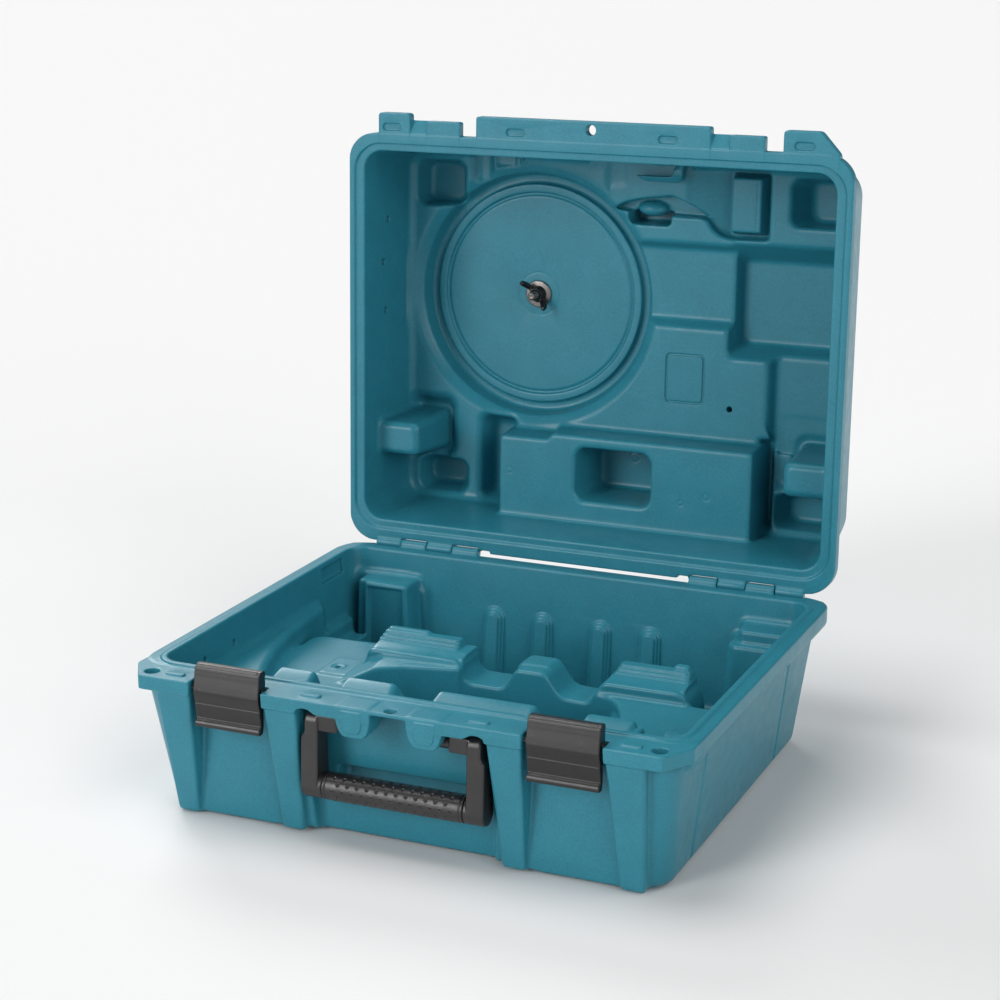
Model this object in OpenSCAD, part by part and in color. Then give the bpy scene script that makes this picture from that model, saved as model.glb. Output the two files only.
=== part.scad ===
// Hard tool case with a hinged lid, two side-pull latches and a folding carry
// handle. Each half is a double-walled moulding: an outer wall and an inner
// wall that meet at the rim. Units are millimetres. +Z is up, the case stands
// on Z = 0, its front faces -Y and X runs to the right seen from the front.

/* [Case] */
// outside width over the rim
case_w = 470; // [460:2:480]
// outside depth over the rim, front edge to rear edge
case_d = 398.6; // [392:1:406]
// height of the parting plane above the floor
base_h = 121; // [119:1:126]
// height of the lid above the parting plane
lid_h = 118; // [117:1:124]
// thickness of each moulded wall
wall = 2.2; // [1.8:0.1:2.4]
// depth of the solid rim band of each half
rim_h = 12; // [11:0.5:13]
// how far the lid is swung open
lid_open = 92.1; // [0:0.1:92.1]

/* [Rim details] */
// height of the raised bead round the base opening
lip_h = 1.8; // [1.2:0.1:2.0]
// diameter of the padlock hole
lock_hole_d = 9.3; // [6:0.1:10]
// diameter of the two front corner holes
corner_hole_d = 12; // [8:0.5:12]

/* [Latches] */
// width of each latch
latch_w = 58; // [54:1:59]
// distance of the latches from the middle
latch_x = 141; // [139.5:0.5:142]
// diameter of the latch pins
latch_pin_d = 4; // [3:0.5:4]

/* [Handle] */
// diameter of the grip
grip_d = 22; // [20:0.5:23]
// length of the grip sleeve
grip_l = 124; // [110:1:126]
// diameter of the two handle pivots
pivot_d = 11; // [9:0.5:12]

/* [Blade holder] */
// diameter of the stud
stud_d = 8; // [6:0.5:8]
// diameter of the washer
washer_d = 25; // [20:0.5:27]

/* [Hidden] */
$fn = 64;
t = wall;
gap = 0.15;          // half of the gap between the closed rims
hx = case_w/2;
hy = 399.5;          // hinge axis, from the front edge
hz = 1.83;           // hinge axis, above the parting plane
kr = 4.8;            // knuckle radius
band_h = rim_h + 4;  // deeper band along the sides and the rear
pin_r = 1.6;
run = 0.05;          // running clearance
bay0 = 109;          // latch bay, inner edge
bay1 = 173.5;        // latch bay, outer edge
lz = -6;             // latch pivot height
ly = 9;              // latch pivot depth
pz = -20;            // handle pivot height
py = 15;             // handle pivot depth
gz = -72.7;          // grip height
bx = -87.5;          // blade recess centre
by = 169.5;
brz = 102;           // blade recess floor
fz = 85;             // lid floor

col_teal = [0.13, 0.36, 0.43];
col_inner = [0.16, 0.40, 0.47];
col_grip = [0.16, 0.15, 0.15];
col_steel = [0.62, 0.62, 0.63];

// ---------------------------------------------------------------- helpers

// rounded rectangle from its four limits
module rr(x0, x1, y0, y1, r) {
    translate([x0 + r, y0]) square([x1 - x0 - 2*r, y1 - y0]);
    translate([x0, y0 + r]) square([x1 - x0, y1 - y0 - 2*r]);
    for (x = [x0 + r, x1 - r], y = [y0 + r, y1 - r]) translate([x, y]) circle(r);
}
module slab(x0, x1, y0, y1, z0, z1, r = 4) {
    translate([0, 0, z0]) linear_extrude(z1 - z0) rr(x0, x1, y0, y1, r);
}
module box(x0, x1, y0, y1, z0, z1) {
    translate([x0, y0, z0]) cube([x1 - x0, y1 - y0, z1 - z0]);
}
// drafted rounded box: a = [x0, x1, y0, y1, r, z] at one end, b at the other
module draft(a, b) {
    hull() {
        translate([0, 0, a[5]]) linear_extrude(0.02) rr(a[0], a[1], a[2], a[3], a[4], $fn = 32);
        translate([0, 0, b[5]]) linear_extrude(0.02) rr(b[0], b[1], b[2], b[3], b[4], $fn = 32);
    }
}
// prism along X from a (y, z) profile
module prism_x(x0, x1, pts) {
    translate([x0, 0, 0]) rotate([90, 0, 90]) linear_extrude(x1 - x0) polygon(pts);
}
// prism along Y from an (x, z) profile
module prism_y(y0, y1, pts) {
    translate([0, y1, 0]) rotate([90, 0, 0]) linear_extrude(y1 - y0) polygon(pts);
}
module rod_x(x0, x1, y, z, r) {
    translate([x0, y, z]) rotate([0, 90, 0]) cylinder(h = x1 - x0, r = r);
}
module both() { children(); mirror([1, 0, 0]) children(); }

// places a piece drawn from the rim's front edge and the parting plane
module in_base() { translate([0, -case_d/2, base_h]) children(); }
module in_lid() {
    in_base() translate([0, hy, hz]) rotate([-lid_open, 0, 0]) translate([0, -hy, -hz]) children();
}

// ---------------------------------------------------------------- base

// outside form of the base below the rim; g shrinks it for the hollow
module base_form(g) {
    difference() {
        union() {
            draft([-227 + g, 227 - g, 12 + g, 390 - g, 25 - g, -rim_h],
                  [-213.5 + g, 213.5 - g, 27 + g, 376 - g, 25 - g, -base_h + g]);
            both() column(173.5, 206, 180, 194, g);
            both() column(78.5, 109, 85, 104.5, g);
            // flat panels behind the latches
            both() box(98 + g, 184 - g, 25.8 + g, 60, -base_h + 1.5 + g, -rim_h);
        }
        // latch recesses
        both() box(bay0 - (g > 0 ? 0 : 0.01) - g, bay1 + g, -5, 25.8 + g, -base_h + 6 - g, 1);
        // deep middle recess for the handle
        prism_x(-78.5 - g, 78.5 + g, [[-5, 1], [31 + g, 1], [37 + g, -base_h - 1], [-5, -base_h - 1]]);
        // finger pocket behind the grip
        slab_y(-60 - g, 60 + g, 20, 50 + g, -90 - g, -62.5 + g, 5);
        // raised bands underneath, so the case stands on four corners and a middle pad
        if (g == 0) difference() {
            union() {
                box(-300, 300, 150, 250, -base_h - 1, -base_h + 1.6);
                box(-120, 120, -5, 420, -base_h - 1, -base_h + 1.6);
            }
            box(-70, 70, case_d/2 - 40, case_d/2 + 40, -base_h - 2, -base_h + 3);
        }
    }
}
// drafted column: a pair of X limits at the top, a pair at the bottom
module column(xa0, xa1, xb0, xb1, g) {
    intersection() {
        prism_y(0, 60, [[xa0 + g, -4], [xa1 - g, -4], [xb1 - g, -base_h + g], [xb0 + g, -base_h + g]]);
        prism_x(xa0 - 20, xa1 + 20, [[2 + g, -4], [22.5 + g, -base_h + g], [60, -base_h + g], [60, -4]]);
    }
}
module slab_y(x0, x1, y0, y1, z0, z1, r) {
    translate([0, y1, 0]) rotate([90, 0, 0]) linear_extrude(y1 - y0) rr(x0, x1, z0, z1, r);
}
module rim_outline(e = 0) {
    difference() {
        rr(-hx + e, hx - e, e, case_d - e, 14);
        for (s = [-1, 1]) scale([s, 1]) polygon([[hx + 1, 27], [hx - e, 27], [hx - 16, e], [hx - 16, -2], [hx + 1, -2]]);
    }
}
module opening(g, r = 18) { rr(-220.5 - g, 220.5 + g, 36 - g, 378 + g, r + g); }

// lower edge of the front rim over the handle recess
module handle_arch() {
    prism_y(-3, 31, [[-78.5, -30], [-78.5, -7], [-68, -7], [-61, -11.5], [-16, -11.5], [-16, -3.5],
                     [16, -3.5], [16, -11.5], [61, -11.5], [68, -7], [78.5, -7], [78.5, -30]]);
}
module pivot_tab() {
    difference() {
        prism_y(2, 24, [[17, -3], [17.5, -20], [20, -26], [39, -26], [42, -20], [44.5, -11], [44.5, -3]]);
        rod_x(10, 50, py, pz, pivot_d/2 + run);
    }
}
module knuckle(x0, x1, below) {
    difference() {
        union() {
            rod_x(x0, x1, hy, hz, kr);
            if (below) box(x0, x1, hy - kr, hy, -10, hz);
            else box(x0, x1, hy - kr, hy, gap, hz + kr);
        }
        rod_x(x0 - 1, x1 + 1, hy, hz, pin_r + run);
    }
}

module base_outer_wall() color(col_teal) in_base() {
    difference() {
        union() {
            difference() {
                union() {
                    base_form(0);
                    translate([0, 0, -rim_h]) linear_extrude(rim_h - gap) rim_outline();
                    slab(-hx, hx, 30, case_d, -band_h, -rim_h + 1, 20);
                    draft([-hx + 0.01, hx - 0.01, 30, case_d - 0.01, 20, -band_h - 0.01],
                          [-226.2, 226.2, 40, 389.6, 25, -band_h - 7]);
                    // bead round the opening
                    translate([0, 0, -1]) linear_extrude(1 + lip_h) opening(5.5, 18);
                    // locating bosses
                    for (x = [-191.6, -70.9, 70.9, 191.6])
                        slab(x - 8.3, x + 8.3, 10, 15.6, -1, 1.4, 2.6);
                }
                base_form_hollow();
                handle_arch();
                // latch bays
                both() box(bay0, bay1, -3, 16.5, -rim_h - 20, 1);
                // holes
                translate([0, 7.6, -30]) cylinder(h = 40, d = lock_hole_d);
                both() translate([213.3, 13.4, -rim_h - 0.3]) cylinder(h = 20, d = corner_hole_d);
                // room for the lid's knuckles
                for (x = [-206.3, -154.3, 129.7, 182.7])
                    box(x, x + 26.1, hy - kr - 0.6, 410, -40, 10);
            }
            both() pivot_tab();
            for (x = [-180.5, -127.9, 103.4, 156.1]) knuckle(x, x + 26, true);
        }
        // opening through the rim for the inner wall
        base_tub(t);
        for (s = [-1, 1]) rod_x(s*latch_x - 40, s*latch_x + 40, ly, lz, latch_pin_d/2 + run);
        for (s = [-1, 1]) rod_x(s*154.6 - 54.6, s*154.6 + 54.6, hy, hz, pin_r + run);
    }
    // the bead and rim sit on top of the inner wall
}
module base_form_hollow() {
    difference() {
        base_form(t);
        box(-300, 300, -10, 420, -rim_h - 0.02, 20);
    }
}

// space inside the base; g grows it for the back of the inner wall
module base_space(g) {
    difference() {
        base_tub(g);
        base_nest(g);
    }
}
module base_tub(g) {
    draft([-220.5 - g, 220.5 + g, 36 - g, 378 + g, 18 + g, lip_h],
          [-209 - g, 209 + g, 46.5 - g, 367.5 + g, 18 + g, -108 - g]);
}
module base_nest(g) {
    b = -130;
    // row of blocks along the front
    for (x = [[-138, -106], [-77, -35], [4, 87], [129, 173], [200, 230]])
        prism_x(x[0] + g, x[1] - g, [[20, -26 - g], [84 - g, -9 - g], [88 - g, -12 - g], [92 - g, b], [20, b]]);
    // sill, trough floor and side floors
    slab(-240, 240, 20, 64 - g, b, -50 - g, 1);
    slab(-240, 240, 20, 199 - g, b, -75 - g, 1);
    slab(-240, -113 - g, 20, 350 - g, b, -72 - g, 1);
    // left platform with the blow hole, right platform
    slab(-160 + g, -100, 165 + g, 232 - g, b, -45 - g, 4);
    slab(110 + g, 240, 80 + g, 206 - g, b, -46 - g, 4);
    // ledge along the left wall
    translate([0, 0, b]) linear_extrude(-30 - g - b)
        polygon([[-240, 302 - g], [-206 - g, 302 - g], [-207 - g, 275], [-195 - g, 196], [-171 - g, 118], [-161 - g, 92 + g], [-240, 92 + g]]);
    // saddle across the middle with two high blocks, a hill and two dips
    prism_y(192 + g, 232 - g, [[-113 + g, b], [-113 + g, -19 - g], [-110, -17.5 - g], [-66, -17.5 - g], [-62, -21 - g], [-46, -21 - g],
        [-38 - g, -26], [-26 - g, -42 - g], [-22, -45 - g], [6, -45 - g], [11 + g, -40 - g], [18 + g, -27 - g], [24, -24.5 - g], [46, -24.5 - g],
        [51 - g, -29 - g], [57 - g, -41 - g], [63, -45 - g], [86, -45 - g], [90 + g, -38 - g], [96 + g, -22 - g], [101, -17.5 - g],
        [162, -17.5 - g], [169 - g, -24 - g], [173 - g, -42 - g], [175 - g, b]]);
    // blocks on the rear wall
    slab(-206 + g, -150 - g, 346 + g, 400, b, -20 - g, 3);
    slab(155 + g, 240, 346 + g, 400, b, -20 - g, 3);
    slab(155 + g, 240, 338 + g, 400, b, -33 - g, 3);
    // ribs on the rear wall
    for (x = [-78, -30, 26, 75]) translate([x, 374, b]) cylinder(h = -43 - g - b, r = 10.5 - g);
}
// lower tier in front of each high block of the saddle
module saddle_tier(g) {
    box(-108 - g, -33, 186, 215 + g, -26 - g, 10);
    box(102 - g, 163 + g, 186, 215 + g, -26 - g, 10);
}
module base_inner_wall() color(col_inner) in_base() {
    difference() {
        intersection() {
            union() { base_space(t); saddle_tier(t); }
            translate([0, 0, -130]) linear_extrude(130 + lip_h) opening(t);
        }
        base_space(0);
        saddle_tier(0);
        // blow hole: a crater over the hole the needle leaves
        translate([-140, 189, -60]) cylinder(h = 30, r = 1.9);
        translate([-140, 189, -46.3]) cylinder(h = 20, r = 2.6);
    }
}

// ---------------------------------------------------------------- lid

module lid_form(g) {
    draft([-227 + g, 227 - g, 24 + g, 390 - g, 28 - g, rim_h],
          [-214 + g, 214 - g, 38 + g, 377 - g, 28 - g, lid_h - g]);
}
module lid_outline() {
    rr(-hx, hx, 18.7, case_d, 26);
}
module lid_outer_wall() color(col_teal) in_lid() {
    difference() {
        union() {
            difference() {
                union() {
                    lid_form(0);
                    translate([0, 0, gap]) linear_extrude(rim_h - gap) lid_outline();
                    // stiffening frame on the top
                    slab(-150, 150, 95, 330, lid_h - 1, lid_h + 1.5, 20);
                    // front tabs
                    lid_tab(-205, -173.5);
                    slab(-109, 109, 0, 40, gap, 9.5, 3);
                    lid_tab(173, 205);
                    prism_z(gap, 9.5, [[204, 0.5], [206, 0.5], [222, 19], [222, 40], [204, 40]]);
                    // pads the latches hook over
                    slab(-157, -124.5, 6, 40, gap, 8.6, 1.5);
                    slab(126, 157, 6, 40, gap, 8.6, 1.5);
                    // sloping webs beside the pads
                    for (x = [-174, 108])
                        prism_x(x, x + 18.5, [[5.4, 6.2], [18, 0.6], [30, 0.6], [30, 8.6], [5.4, 8.6]]);
                }
                lid_form_hollow();
                // seats for the bead and the locating bosses
                translate([0, 0, -1]) linear_extrude(1 + lip_h + 0.5) rr(-229, 229, 27.6, 386, 26);
                for (x = [-191.6, -70.9, 70.9, 191.6])
                    slab(x - 8.8, x + 8.8, 9.5, 16.1, -1, 2.1, 3.1);
                translate([0, 7.6, -10]) cylinder(h = 40, d = lock_hole_d);
                // room for the base's knuckles
                for (x = [-180.8, -128.2, 103.1, 155.8])
                    box(x, x + 26.6, hy - kr - 0.6, 410, -10, 40);
                // slots in the rear edge beside the hinges
                for (x = [-101, 92]) box(x, x + 10, 396, 410, -10, 40);
            }
            for (x = [-206, -154, 130, 183]) knuckle(x, x + 25.5, false);
        }
        lid_tub(t);
        for (s = [-1, 1]) rod_x(s*154.6 - 54.6, s*154.6 + 54.6, hy, hz, pin_r + run);
    }
}
module prism_z(z0, z1, pts) { translate([0, 0, z0]) linear_extrude(z1 - z0) polygon(pts); }
module lid_tab(x0, x1) { slab(x0, x1, 0, 40, gap, 9.5, 3); }
module lid_form_hollow() {
    difference() {
        lid_form(t);
        box(-300, 300, -10, 420, -20, rim_h + 0.02);
    }
}

// space inside the lid; g grows it for the back of the inner wall
module lid_space(g) {
    difference() {
        union() {
            lid_tub(g);
            // round recess for the blade
            translate([bx, by, fz - 1]) cylinder(h = brz - fz + 1 + g, r1 = 113.9 + g, r2 = 103.5 + g);
            lid_pockets(g);
        }
        // blocks that stand up from the lid's floor
        difference() {
            slab(-105.8 + g, 140.4 - g, 291 + g, 420, 55 + g, 200, 4);
            slab(-29.6 - g, 43.6 + g, 302 - g, 352 + g, 40, 200, 10);
        }
        both() slab(177 + g, 240, 289.5 + g, 320 - g, 28 + g, 200, 3);
    }
}
module lid_tub(g) {
    draft([-220.5 - g, 220.5 + g, 34 - g, 378 + g, 18 + g, -0.1],
          [-213 - g, 213 + g, 41 - g, 371 + g, 18 + g, fz + g]);
}
module lid_pockets(g) {
    p = 111;
    z = fz - 5;
    both() slab(150 - g, 203 + g, 333 - g, 363 + g, z, p + g, 9);
    both() slab(155.3 - g, 206 + g, 47.4 - g, 91.3 + g, z, p + g, 10);
    slab(105 - g, 210 + g, 108 - g, 212 + g, z, p + g, 6);
    slab(-10, 106, 111 - g, 187.5 + g, z, 96 + g, 4);
    slab(-29.6 - g, 43.6 + g, 302 - g, 352 + g, 30, p + g, 10);
    slab(-137.6 - g, -100, 278 - g, 365 + g, z, 108 + g, 3);
    slab(136, 150 + g, 287 - g, 365 + g, z, 100 + g, 3);
    slab(141.7 - g, 207 + g, 205, 266 + g, z, 92 + g, 3);
    slab(3.7 - g, 43.4 + g, 76 - g, 96.5 + g, z, p + g, 6);
    prism_z(z, 100 + g, [[-12 - g, 88.2 + g], [84 + g, 88.2 + g], [42.4, 70.4 - g]]);
    difference() {
        slab(80 - g, 137.5 + g, 46.3 - g, 106 + g, z, 100 + g, 8);
        slab(103 + g, 129 - g, 50.5 + g, 97.6 - g, z - 5, 140, 2);
    }
}
module lid_inner_wall() color(col_inner) in_lid() {
    difference() {
        intersection() {
            lid_space(t);
            translate([0, 0, gap]) linear_extrude(140) rr(-220.5 - t, 220.5 + t, 34 - t, 378 + t, 18 + t);
        }
        lid_space(0);
        // seat for the base's bead
        translate([0, 0, -1]) linear_extrude(1 + lip_h + 0.5) rr(-229, 229, 27.6, 386, 26);
        translate([107.7, 259.2, 80]) cylinder(h = 12, r = 2.7);
        translate([bx, by, 90]) cylinder(h = 20, r = stud_d/2);
    }
}

// ---------------------------------------------------------------- hinges

module hinge_pin(x0, x1) in_base() {
    rod_x(x0, x1, hy, hz, pin_r);
}
module hinge_pin_left() color(col_steel) hinge_pin(-206, -102);
module hinge_pin_right() color(col_steel) hinge_pin(103.6, 208.4);

// ---------------------------------------------------------------- latches

module latch_body() {
    w = latch_w/2;
    difference() {
        union() {
            // front plate with the finger lip
            prism_x(-w, w, [[5, 11], [3.4, 14.5], [2.6, 14.2], [1.4, 12.8], [1.2, 12], [1.0, -9], [3.4, -18], [5.4, -29.5],
                            [2.0, -32], [1.4, -34.6], [2.4, -36.2], [6.6, -36.4], [8.6, -32], [8.6, -28], [6.8, -18], [4.4, -9], [4.4, 11]]);
            // top and hook
            prism_x(-w, w, [[3, 14.5], [12.6, 14.5], [13.6, 13.8], [14, 12.6], [14, 9.3], [12, 9.3], [11.4, 11.2], [3, 11.2]]);
            // barrel round the pin
            rod_x(-w, w, ly, lz, 4.6);
            prism_x(-w, w, [[3, -2.5], [8, -2.5], [8, -9.5], [3.6, -9.5]]);
            // cheeks
            prism_x(w - 3, w, [[3, 14.5], [12.6, 14.5], [13.6, 13.8], [14, 12.6], [13.6, -8], [12, -11.6], [9.6, -17], [9.8, -31], [7, -36.3], [3, -36], [4, -20]]);
            prism_x(-w, -w + 3, [[3, -1], [13.4, -1.6], [13.6, -8], [12, -11.6], [9.6, -17], [9.8, -31], [7, -36.3], [3, -36], [4, -20]]);
        }
        rod_x(-w - 1, w + 1, ly, lz, latch_pin_d/2 + run);
    }
}
module latch_left() color(col_grip) in_base() translate([-latch_x + 1, 0, 0]) latch_body();
module latch_right() color(col_grip) in_base() translate([latch_x + 1, 0, 0]) latch_body();
module latch_pin_left() color(col_steel) in_base() rod_x(-latch_x - 39, -latch_x + 39, ly, lz, latch_pin_d/2);
module latch_pin_right() color(col_steel) in_base() rod_x(latch_x - 39, latch_x + 39, ly, lz, latch_pin_d/2);

// ---------------------------------------------------------------- handle

module handle_arm() {
    // flat arm, wider at the grip
    prism_y(py - 8.4, py + 5, [[62.5, pz], [74.5, pz], [75.2, -27], [77.2, -31], [77.6, gz], [62.5, gz]]);
    rod_x(62.5, 74.5, py, pz, 8.4);
    rod_x(60.6, 77.6, py, gz, grip_d/2);
    rod_x(22, 64, py, pz, pivot_d/2);
    rod_x(50, 64, py, pz, pivot_d/2 + 1.2);
}
module handle_frame() color(col_grip) in_base() {
    difference() {
        union() { both() handle_arm(); rod_x(-63, 63, py, gz, 6.5); }
    }
}
module handle_grip() color(col_grip) in_base() {
    difference() {
        union() {
            rod_x(-grip_l/2 + 2.2, grip_l/2 - 2.2, py, gz, grip_d/2);
            rod_x(-60.5, 60.5, py, gz, grip_d/2 - 1.2);
        }
        rod_x(-70, 70, py, gz, 6.5);
    }
}

// ---------------------------------------------------------------- blade holder

module blade_stud() color(col_steel) in_lid() translate([bx, by, 0]) {
    translate([0, 0, 83]) cylinder(h = 24, r = stud_d/2);
    translate([0, 0, 82]) cylinder(h = 1.01, r1 = stud_d/2 - 1, r2 = stud_d/2);
    translate([0, 0, brz + t]) cylinder(h = 4.5, r = 9);
}
module blade_washer() color(col_steel) in_lid() translate([bx, by, brz - 2.4]) difference() {
    cylinder(h = 2.2, d = washer_d);
    translate([0, 0, -1]) cylinder(h = 5, r = stud_d/2 + run);
}
module wing_nut() color(col_grip) in_lid() translate([bx, by, 0]) difference() {
    union() {
        translate([0, 0, 89.6]) cylinder(h = 9.9, r1 = 6.2, r2 = 7.6);
        rotate([0, 0, 35]) for (s = [-1, 1]) scale([s, 1, 1])
            prism_y(-1.8, 1.8, [[4, 99], [7, 99], [17, 91.5], [18.5, 86], [16, 84.6], [9, 87.5], [4, 91]]);
    }
    translate([0, 0, 80]) cylinder(h = 30, r = stud_d/2 + run);
}

// ---------------------------------------------------------------- scene

base_outer_wall();
base_inner_wall();
lid_outer_wall();
lid_inner_wall();
hinge_pin_left();
hinge_pin_right();
latch_left();
latch_right();
latch_pin_left();
latch_pin_right();
handle_frame();
handle_grip();
blade_stud();
blade_washer();
wing_nut();
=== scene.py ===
import bpy
import math
import numpy as np
from mathutils import Matrix, Vector


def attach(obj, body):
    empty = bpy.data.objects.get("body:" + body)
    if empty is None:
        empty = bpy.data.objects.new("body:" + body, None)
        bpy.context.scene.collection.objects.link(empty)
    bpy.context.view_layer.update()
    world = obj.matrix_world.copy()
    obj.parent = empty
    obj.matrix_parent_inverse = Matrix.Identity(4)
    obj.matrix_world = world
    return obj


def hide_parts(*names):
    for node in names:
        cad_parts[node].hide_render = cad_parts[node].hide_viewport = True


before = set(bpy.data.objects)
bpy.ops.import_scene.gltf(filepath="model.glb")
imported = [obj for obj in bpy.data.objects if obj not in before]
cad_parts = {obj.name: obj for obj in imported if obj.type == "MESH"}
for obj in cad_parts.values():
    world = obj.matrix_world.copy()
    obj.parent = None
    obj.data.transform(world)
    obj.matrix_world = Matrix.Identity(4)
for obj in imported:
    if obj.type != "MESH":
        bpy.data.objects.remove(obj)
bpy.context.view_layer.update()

STEP = 1.25      # grid step of the moulded shapes, mm
PART = None                        # limits in force while a finer part is drawn

# The moulded halves are drawn in millimetres from the rim's front edge and the
# parting plane: x to the right, y to the rear, z up from the plane (base) or
# into the lid (lid, drawn as if it were shut).
CASE_D, BASE_H = 398.6, 121.0
HY, HZ, OPEN = 399.5, 1.83, math.radians(92.1)
BX, BY, BRZ, FZ = -87.5, 169.5, 102.0, 85.0


def to_row(p):
    p = np.asarray(p, float)
    return np.stack([p[..., 0], p[..., 1] - CASE_D / 2, p[..., 2] + BASE_H], -1) * 0.001


def lid_out(p):
    p = np.asarray(p, float)
    c, s = math.cos(OPEN), math.sin(OPEN)
    y, z = p[..., 1] - HY, p[..., 2] - HZ
    return np.stack([p[..., 0], HY + y * c + z * s, HZ - y * s + z * c], -1)


def lid_row(p):
    return to_row(lid_out(p))


def lid_turn(n):
    n = np.asarray(n, float)
    c, s = math.cos(OPEN), math.sin(OPEN)
    return np.stack([n[..., 0], n[..., 1] * c + n[..., 2] * s, -n[..., 1] * s + n[..., 2] * c], -1)


# ------------------------------------------------------------ solid modelling

def smin(a, b, r):
    if r <= 0:
        return np.minimum(a, b)
    u, v = np.maximum(r - a, 0), np.maximum(r - b, 0)
    return np.maximum(np.minimum(a, b), r) - np.sqrt(u * u + v * v)


def smax(a, b, r):
    return -smin(-a, -b, r)


class Vol:
    """A field of signed distances, negative in the material."""

    def __init__(self, lo, hi, step, far=30.0):
        self.h = step
        lo, hi = np.array(lo, float), np.array(hi, float)
        if PART is not None:
            lo, hi = np.maximum(lo, PART[0]), np.minimum(hi, PART[1])
        first = np.floor(lo / step + 1e-6).astype(int)
        self.lo = first * step
        n = np.maximum(np.ceil(hi / step - 1e-6).astype(int) - first + 1, 2)
        self.n = n
        ax = [(self.lo[i] + step * np.arange(n[i])).astype(np.float32) for i in range(3)]
        self.ax = ax
        self.f = np.full(tuple(n), far, np.float32)

    def cut_out(self, box, m):
        sl = []
        for i in range(3):
            a = int(np.floor((box[2 * i] - m - self.lo[i]) / self.h))
            b = int(np.ceil((box[2 * i + 1] + m - self.lo[i]) / self.h)) + 1
            sl.append(slice(max(a, 0), min(max(b, 0), int(self.n[i]))))
        sl = tuple(sl)
        x = self.ax[0][sl[0]][:, None, None]
        y = self.ax[1][sl[1]][None, :, None]
        z = self.ax[2][sl[2]][None, None, :]
        return sl, x, y, z

    def add(self, box, fn, r=0.0):
        sl, x, y, z = self.cut_out(box, r + 3 * self.h)
        if min(self.f[sl].shape) < 2:
            return self
        self.f[sl] = smin(self.f[sl], fn(x, y, z), r)
        return self

    def cut(self, box, fn, r=0.0):
        sl, x, y, z = self.cut_out(box, r + 3 * self.h)
        if min(self.f[sl].shape) < 2:
            return self
        self.f[sl] = smax(self.f[sl], -fn(x, y, z), r)
        return self


def length2(a, b):
    return np.sqrt(a * a + b * b)


def rbox(x0, x1, y0, y1, z0, z1, r, rv=None):
    """Rounded box: r on the ends' edges, rv on the upright edges."""
    rv = r if rv is None else rv
    cx, cy, cz = (x0 + x1) / 2, (y0 + y1) / 2, (z0 + z1) / 2
    hx, hy, hz = (x1 - x0) / 2, (y1 - y0) / 2, (z1 - z0) / 2

    def fn(x, y, z):
        qx, qy = np.abs(x - cx) - (hx - rv), np.abs(y - cy) - (hy - rv)
        d = length2(np.maximum(qx, 0), np.maximum(qy, 0)) + np.minimum(np.maximum(qx, qy), 0) - rv
        return smax(d, np.abs(z - cz) - hz, r)

    return (x0, x1, y0, y1, z0, z1), fn


def dbox(a, za, b, zb, r, rv):
    """Drafted box: limits a = (x0, x1, y0, y1) at za and b at zb."""
    lo, hi = min(za, zb), max(za, zb)

    def fn(x, y, z):
        t = (z - za) / (zb - za)
        x0, x1 = a[0] + (b[0] - a[0]) * t, a[1] + (b[1] - a[1]) * t
        y0, y1 = a[2] + (b[2] - a[2]) * t, a[3] + (b[3] - a[3]) * t
        qx = np.abs(x - (x0 + x1) / 2) - ((x1 - x0) / 2 - rv)
        qy = np.abs(y - (y0 + y1) / 2) - ((y1 - y0) / 2 - rv)
        d = length2(np.maximum(qx, 0), np.maximum(qy, 0)) + np.minimum(np.maximum(qx, qy), 0) - rv
        return smax(d, np.maximum(lo - z, z - hi), r)

    box = (min(a[0], b[0]), max(a[1], b[1]), min(a[2], b[2]), max(a[3], b[3]), lo, hi)
    return box, fn


def cone(cx, cy, z0, z1, r0, r1, r):
    def fn(x, y, z):
        t = (z - z0) / (z1 - z0)
        d = length2(x - cx, y - cy) - (r0 + (r1 - r0) * t)
        return smax(d, np.maximum(z0 - z, z - z1), r)

    m = max(r0, r1)
    return (cx - m, cx + m, cy - m, cy + m, z0, z1), fn


def ball(cx, cy, cz, rx, ry, rz):
    def fn(x, y, z):
        k = np.sqrt(((x - cx) / rx) ** 2 + ((y - cy) / ry) ** 2 + ((z - cz) / rz) ** 2)
        return (k - 1) * min(rx, ry, rz)

    return (cx - rx, cx + rx, cy - ry, cy + ry, cz - rz, cz + rz), fn


def blur2(a, s):
    if s <= 0:
        return a
    n = int(3 * s) + 1
    k = np.exp(-0.5 * (np.arange(-n, n + 1) / s) ** 2)
    k /= k.sum()
    for ax in (0, 1):
        p = np.pad(a, [(n, n) if i == ax else (0, 0) for i in (0, 1)], mode="edge")
        out = 0
        for i, w in enumerate(k):
            out = out + w * (p[i:i + a.shape[0], :] if ax == 0 else p[:, i:i + a.shape[1]])
        a = out
    return a


def poly_sd(u, v, pts):
    """Signed distance to a polygon on the grid u x v, negative inside."""
    pts = np.asarray(pts, float)
    nxt = np.roll(pts, -1, 0)
    uu, vv = u[:, None].astype(float), v[None, :].astype(float)
    best = np.full((len(u), len(v)), 1e18)
    inside = np.zeros((len(u), len(v)), bool)
    for (ax, ay), (bx, by) in zip(pts, nxt):
        ex, ey = bx - ax, by - ay
        t = np.clip(((uu - ax) * ex + (vv - ay) * ey) / (ex * ex + ey * ey), 0, 1)
        best = np.minimum(best, (uu - ax - t * ex) ** 2 + (vv - ay - t * ey) ** 2)
        c = ((ay <= vv) & (by > vv)) | ((by <= vv) & (ay > vv))
        if ay != by:
            inside ^= c & (uu < ax + (vv - ay) * ex / ey)
    d = np.sqrt(best)
    return np.where(inside, -d, d).astype(np.float32)


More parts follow.
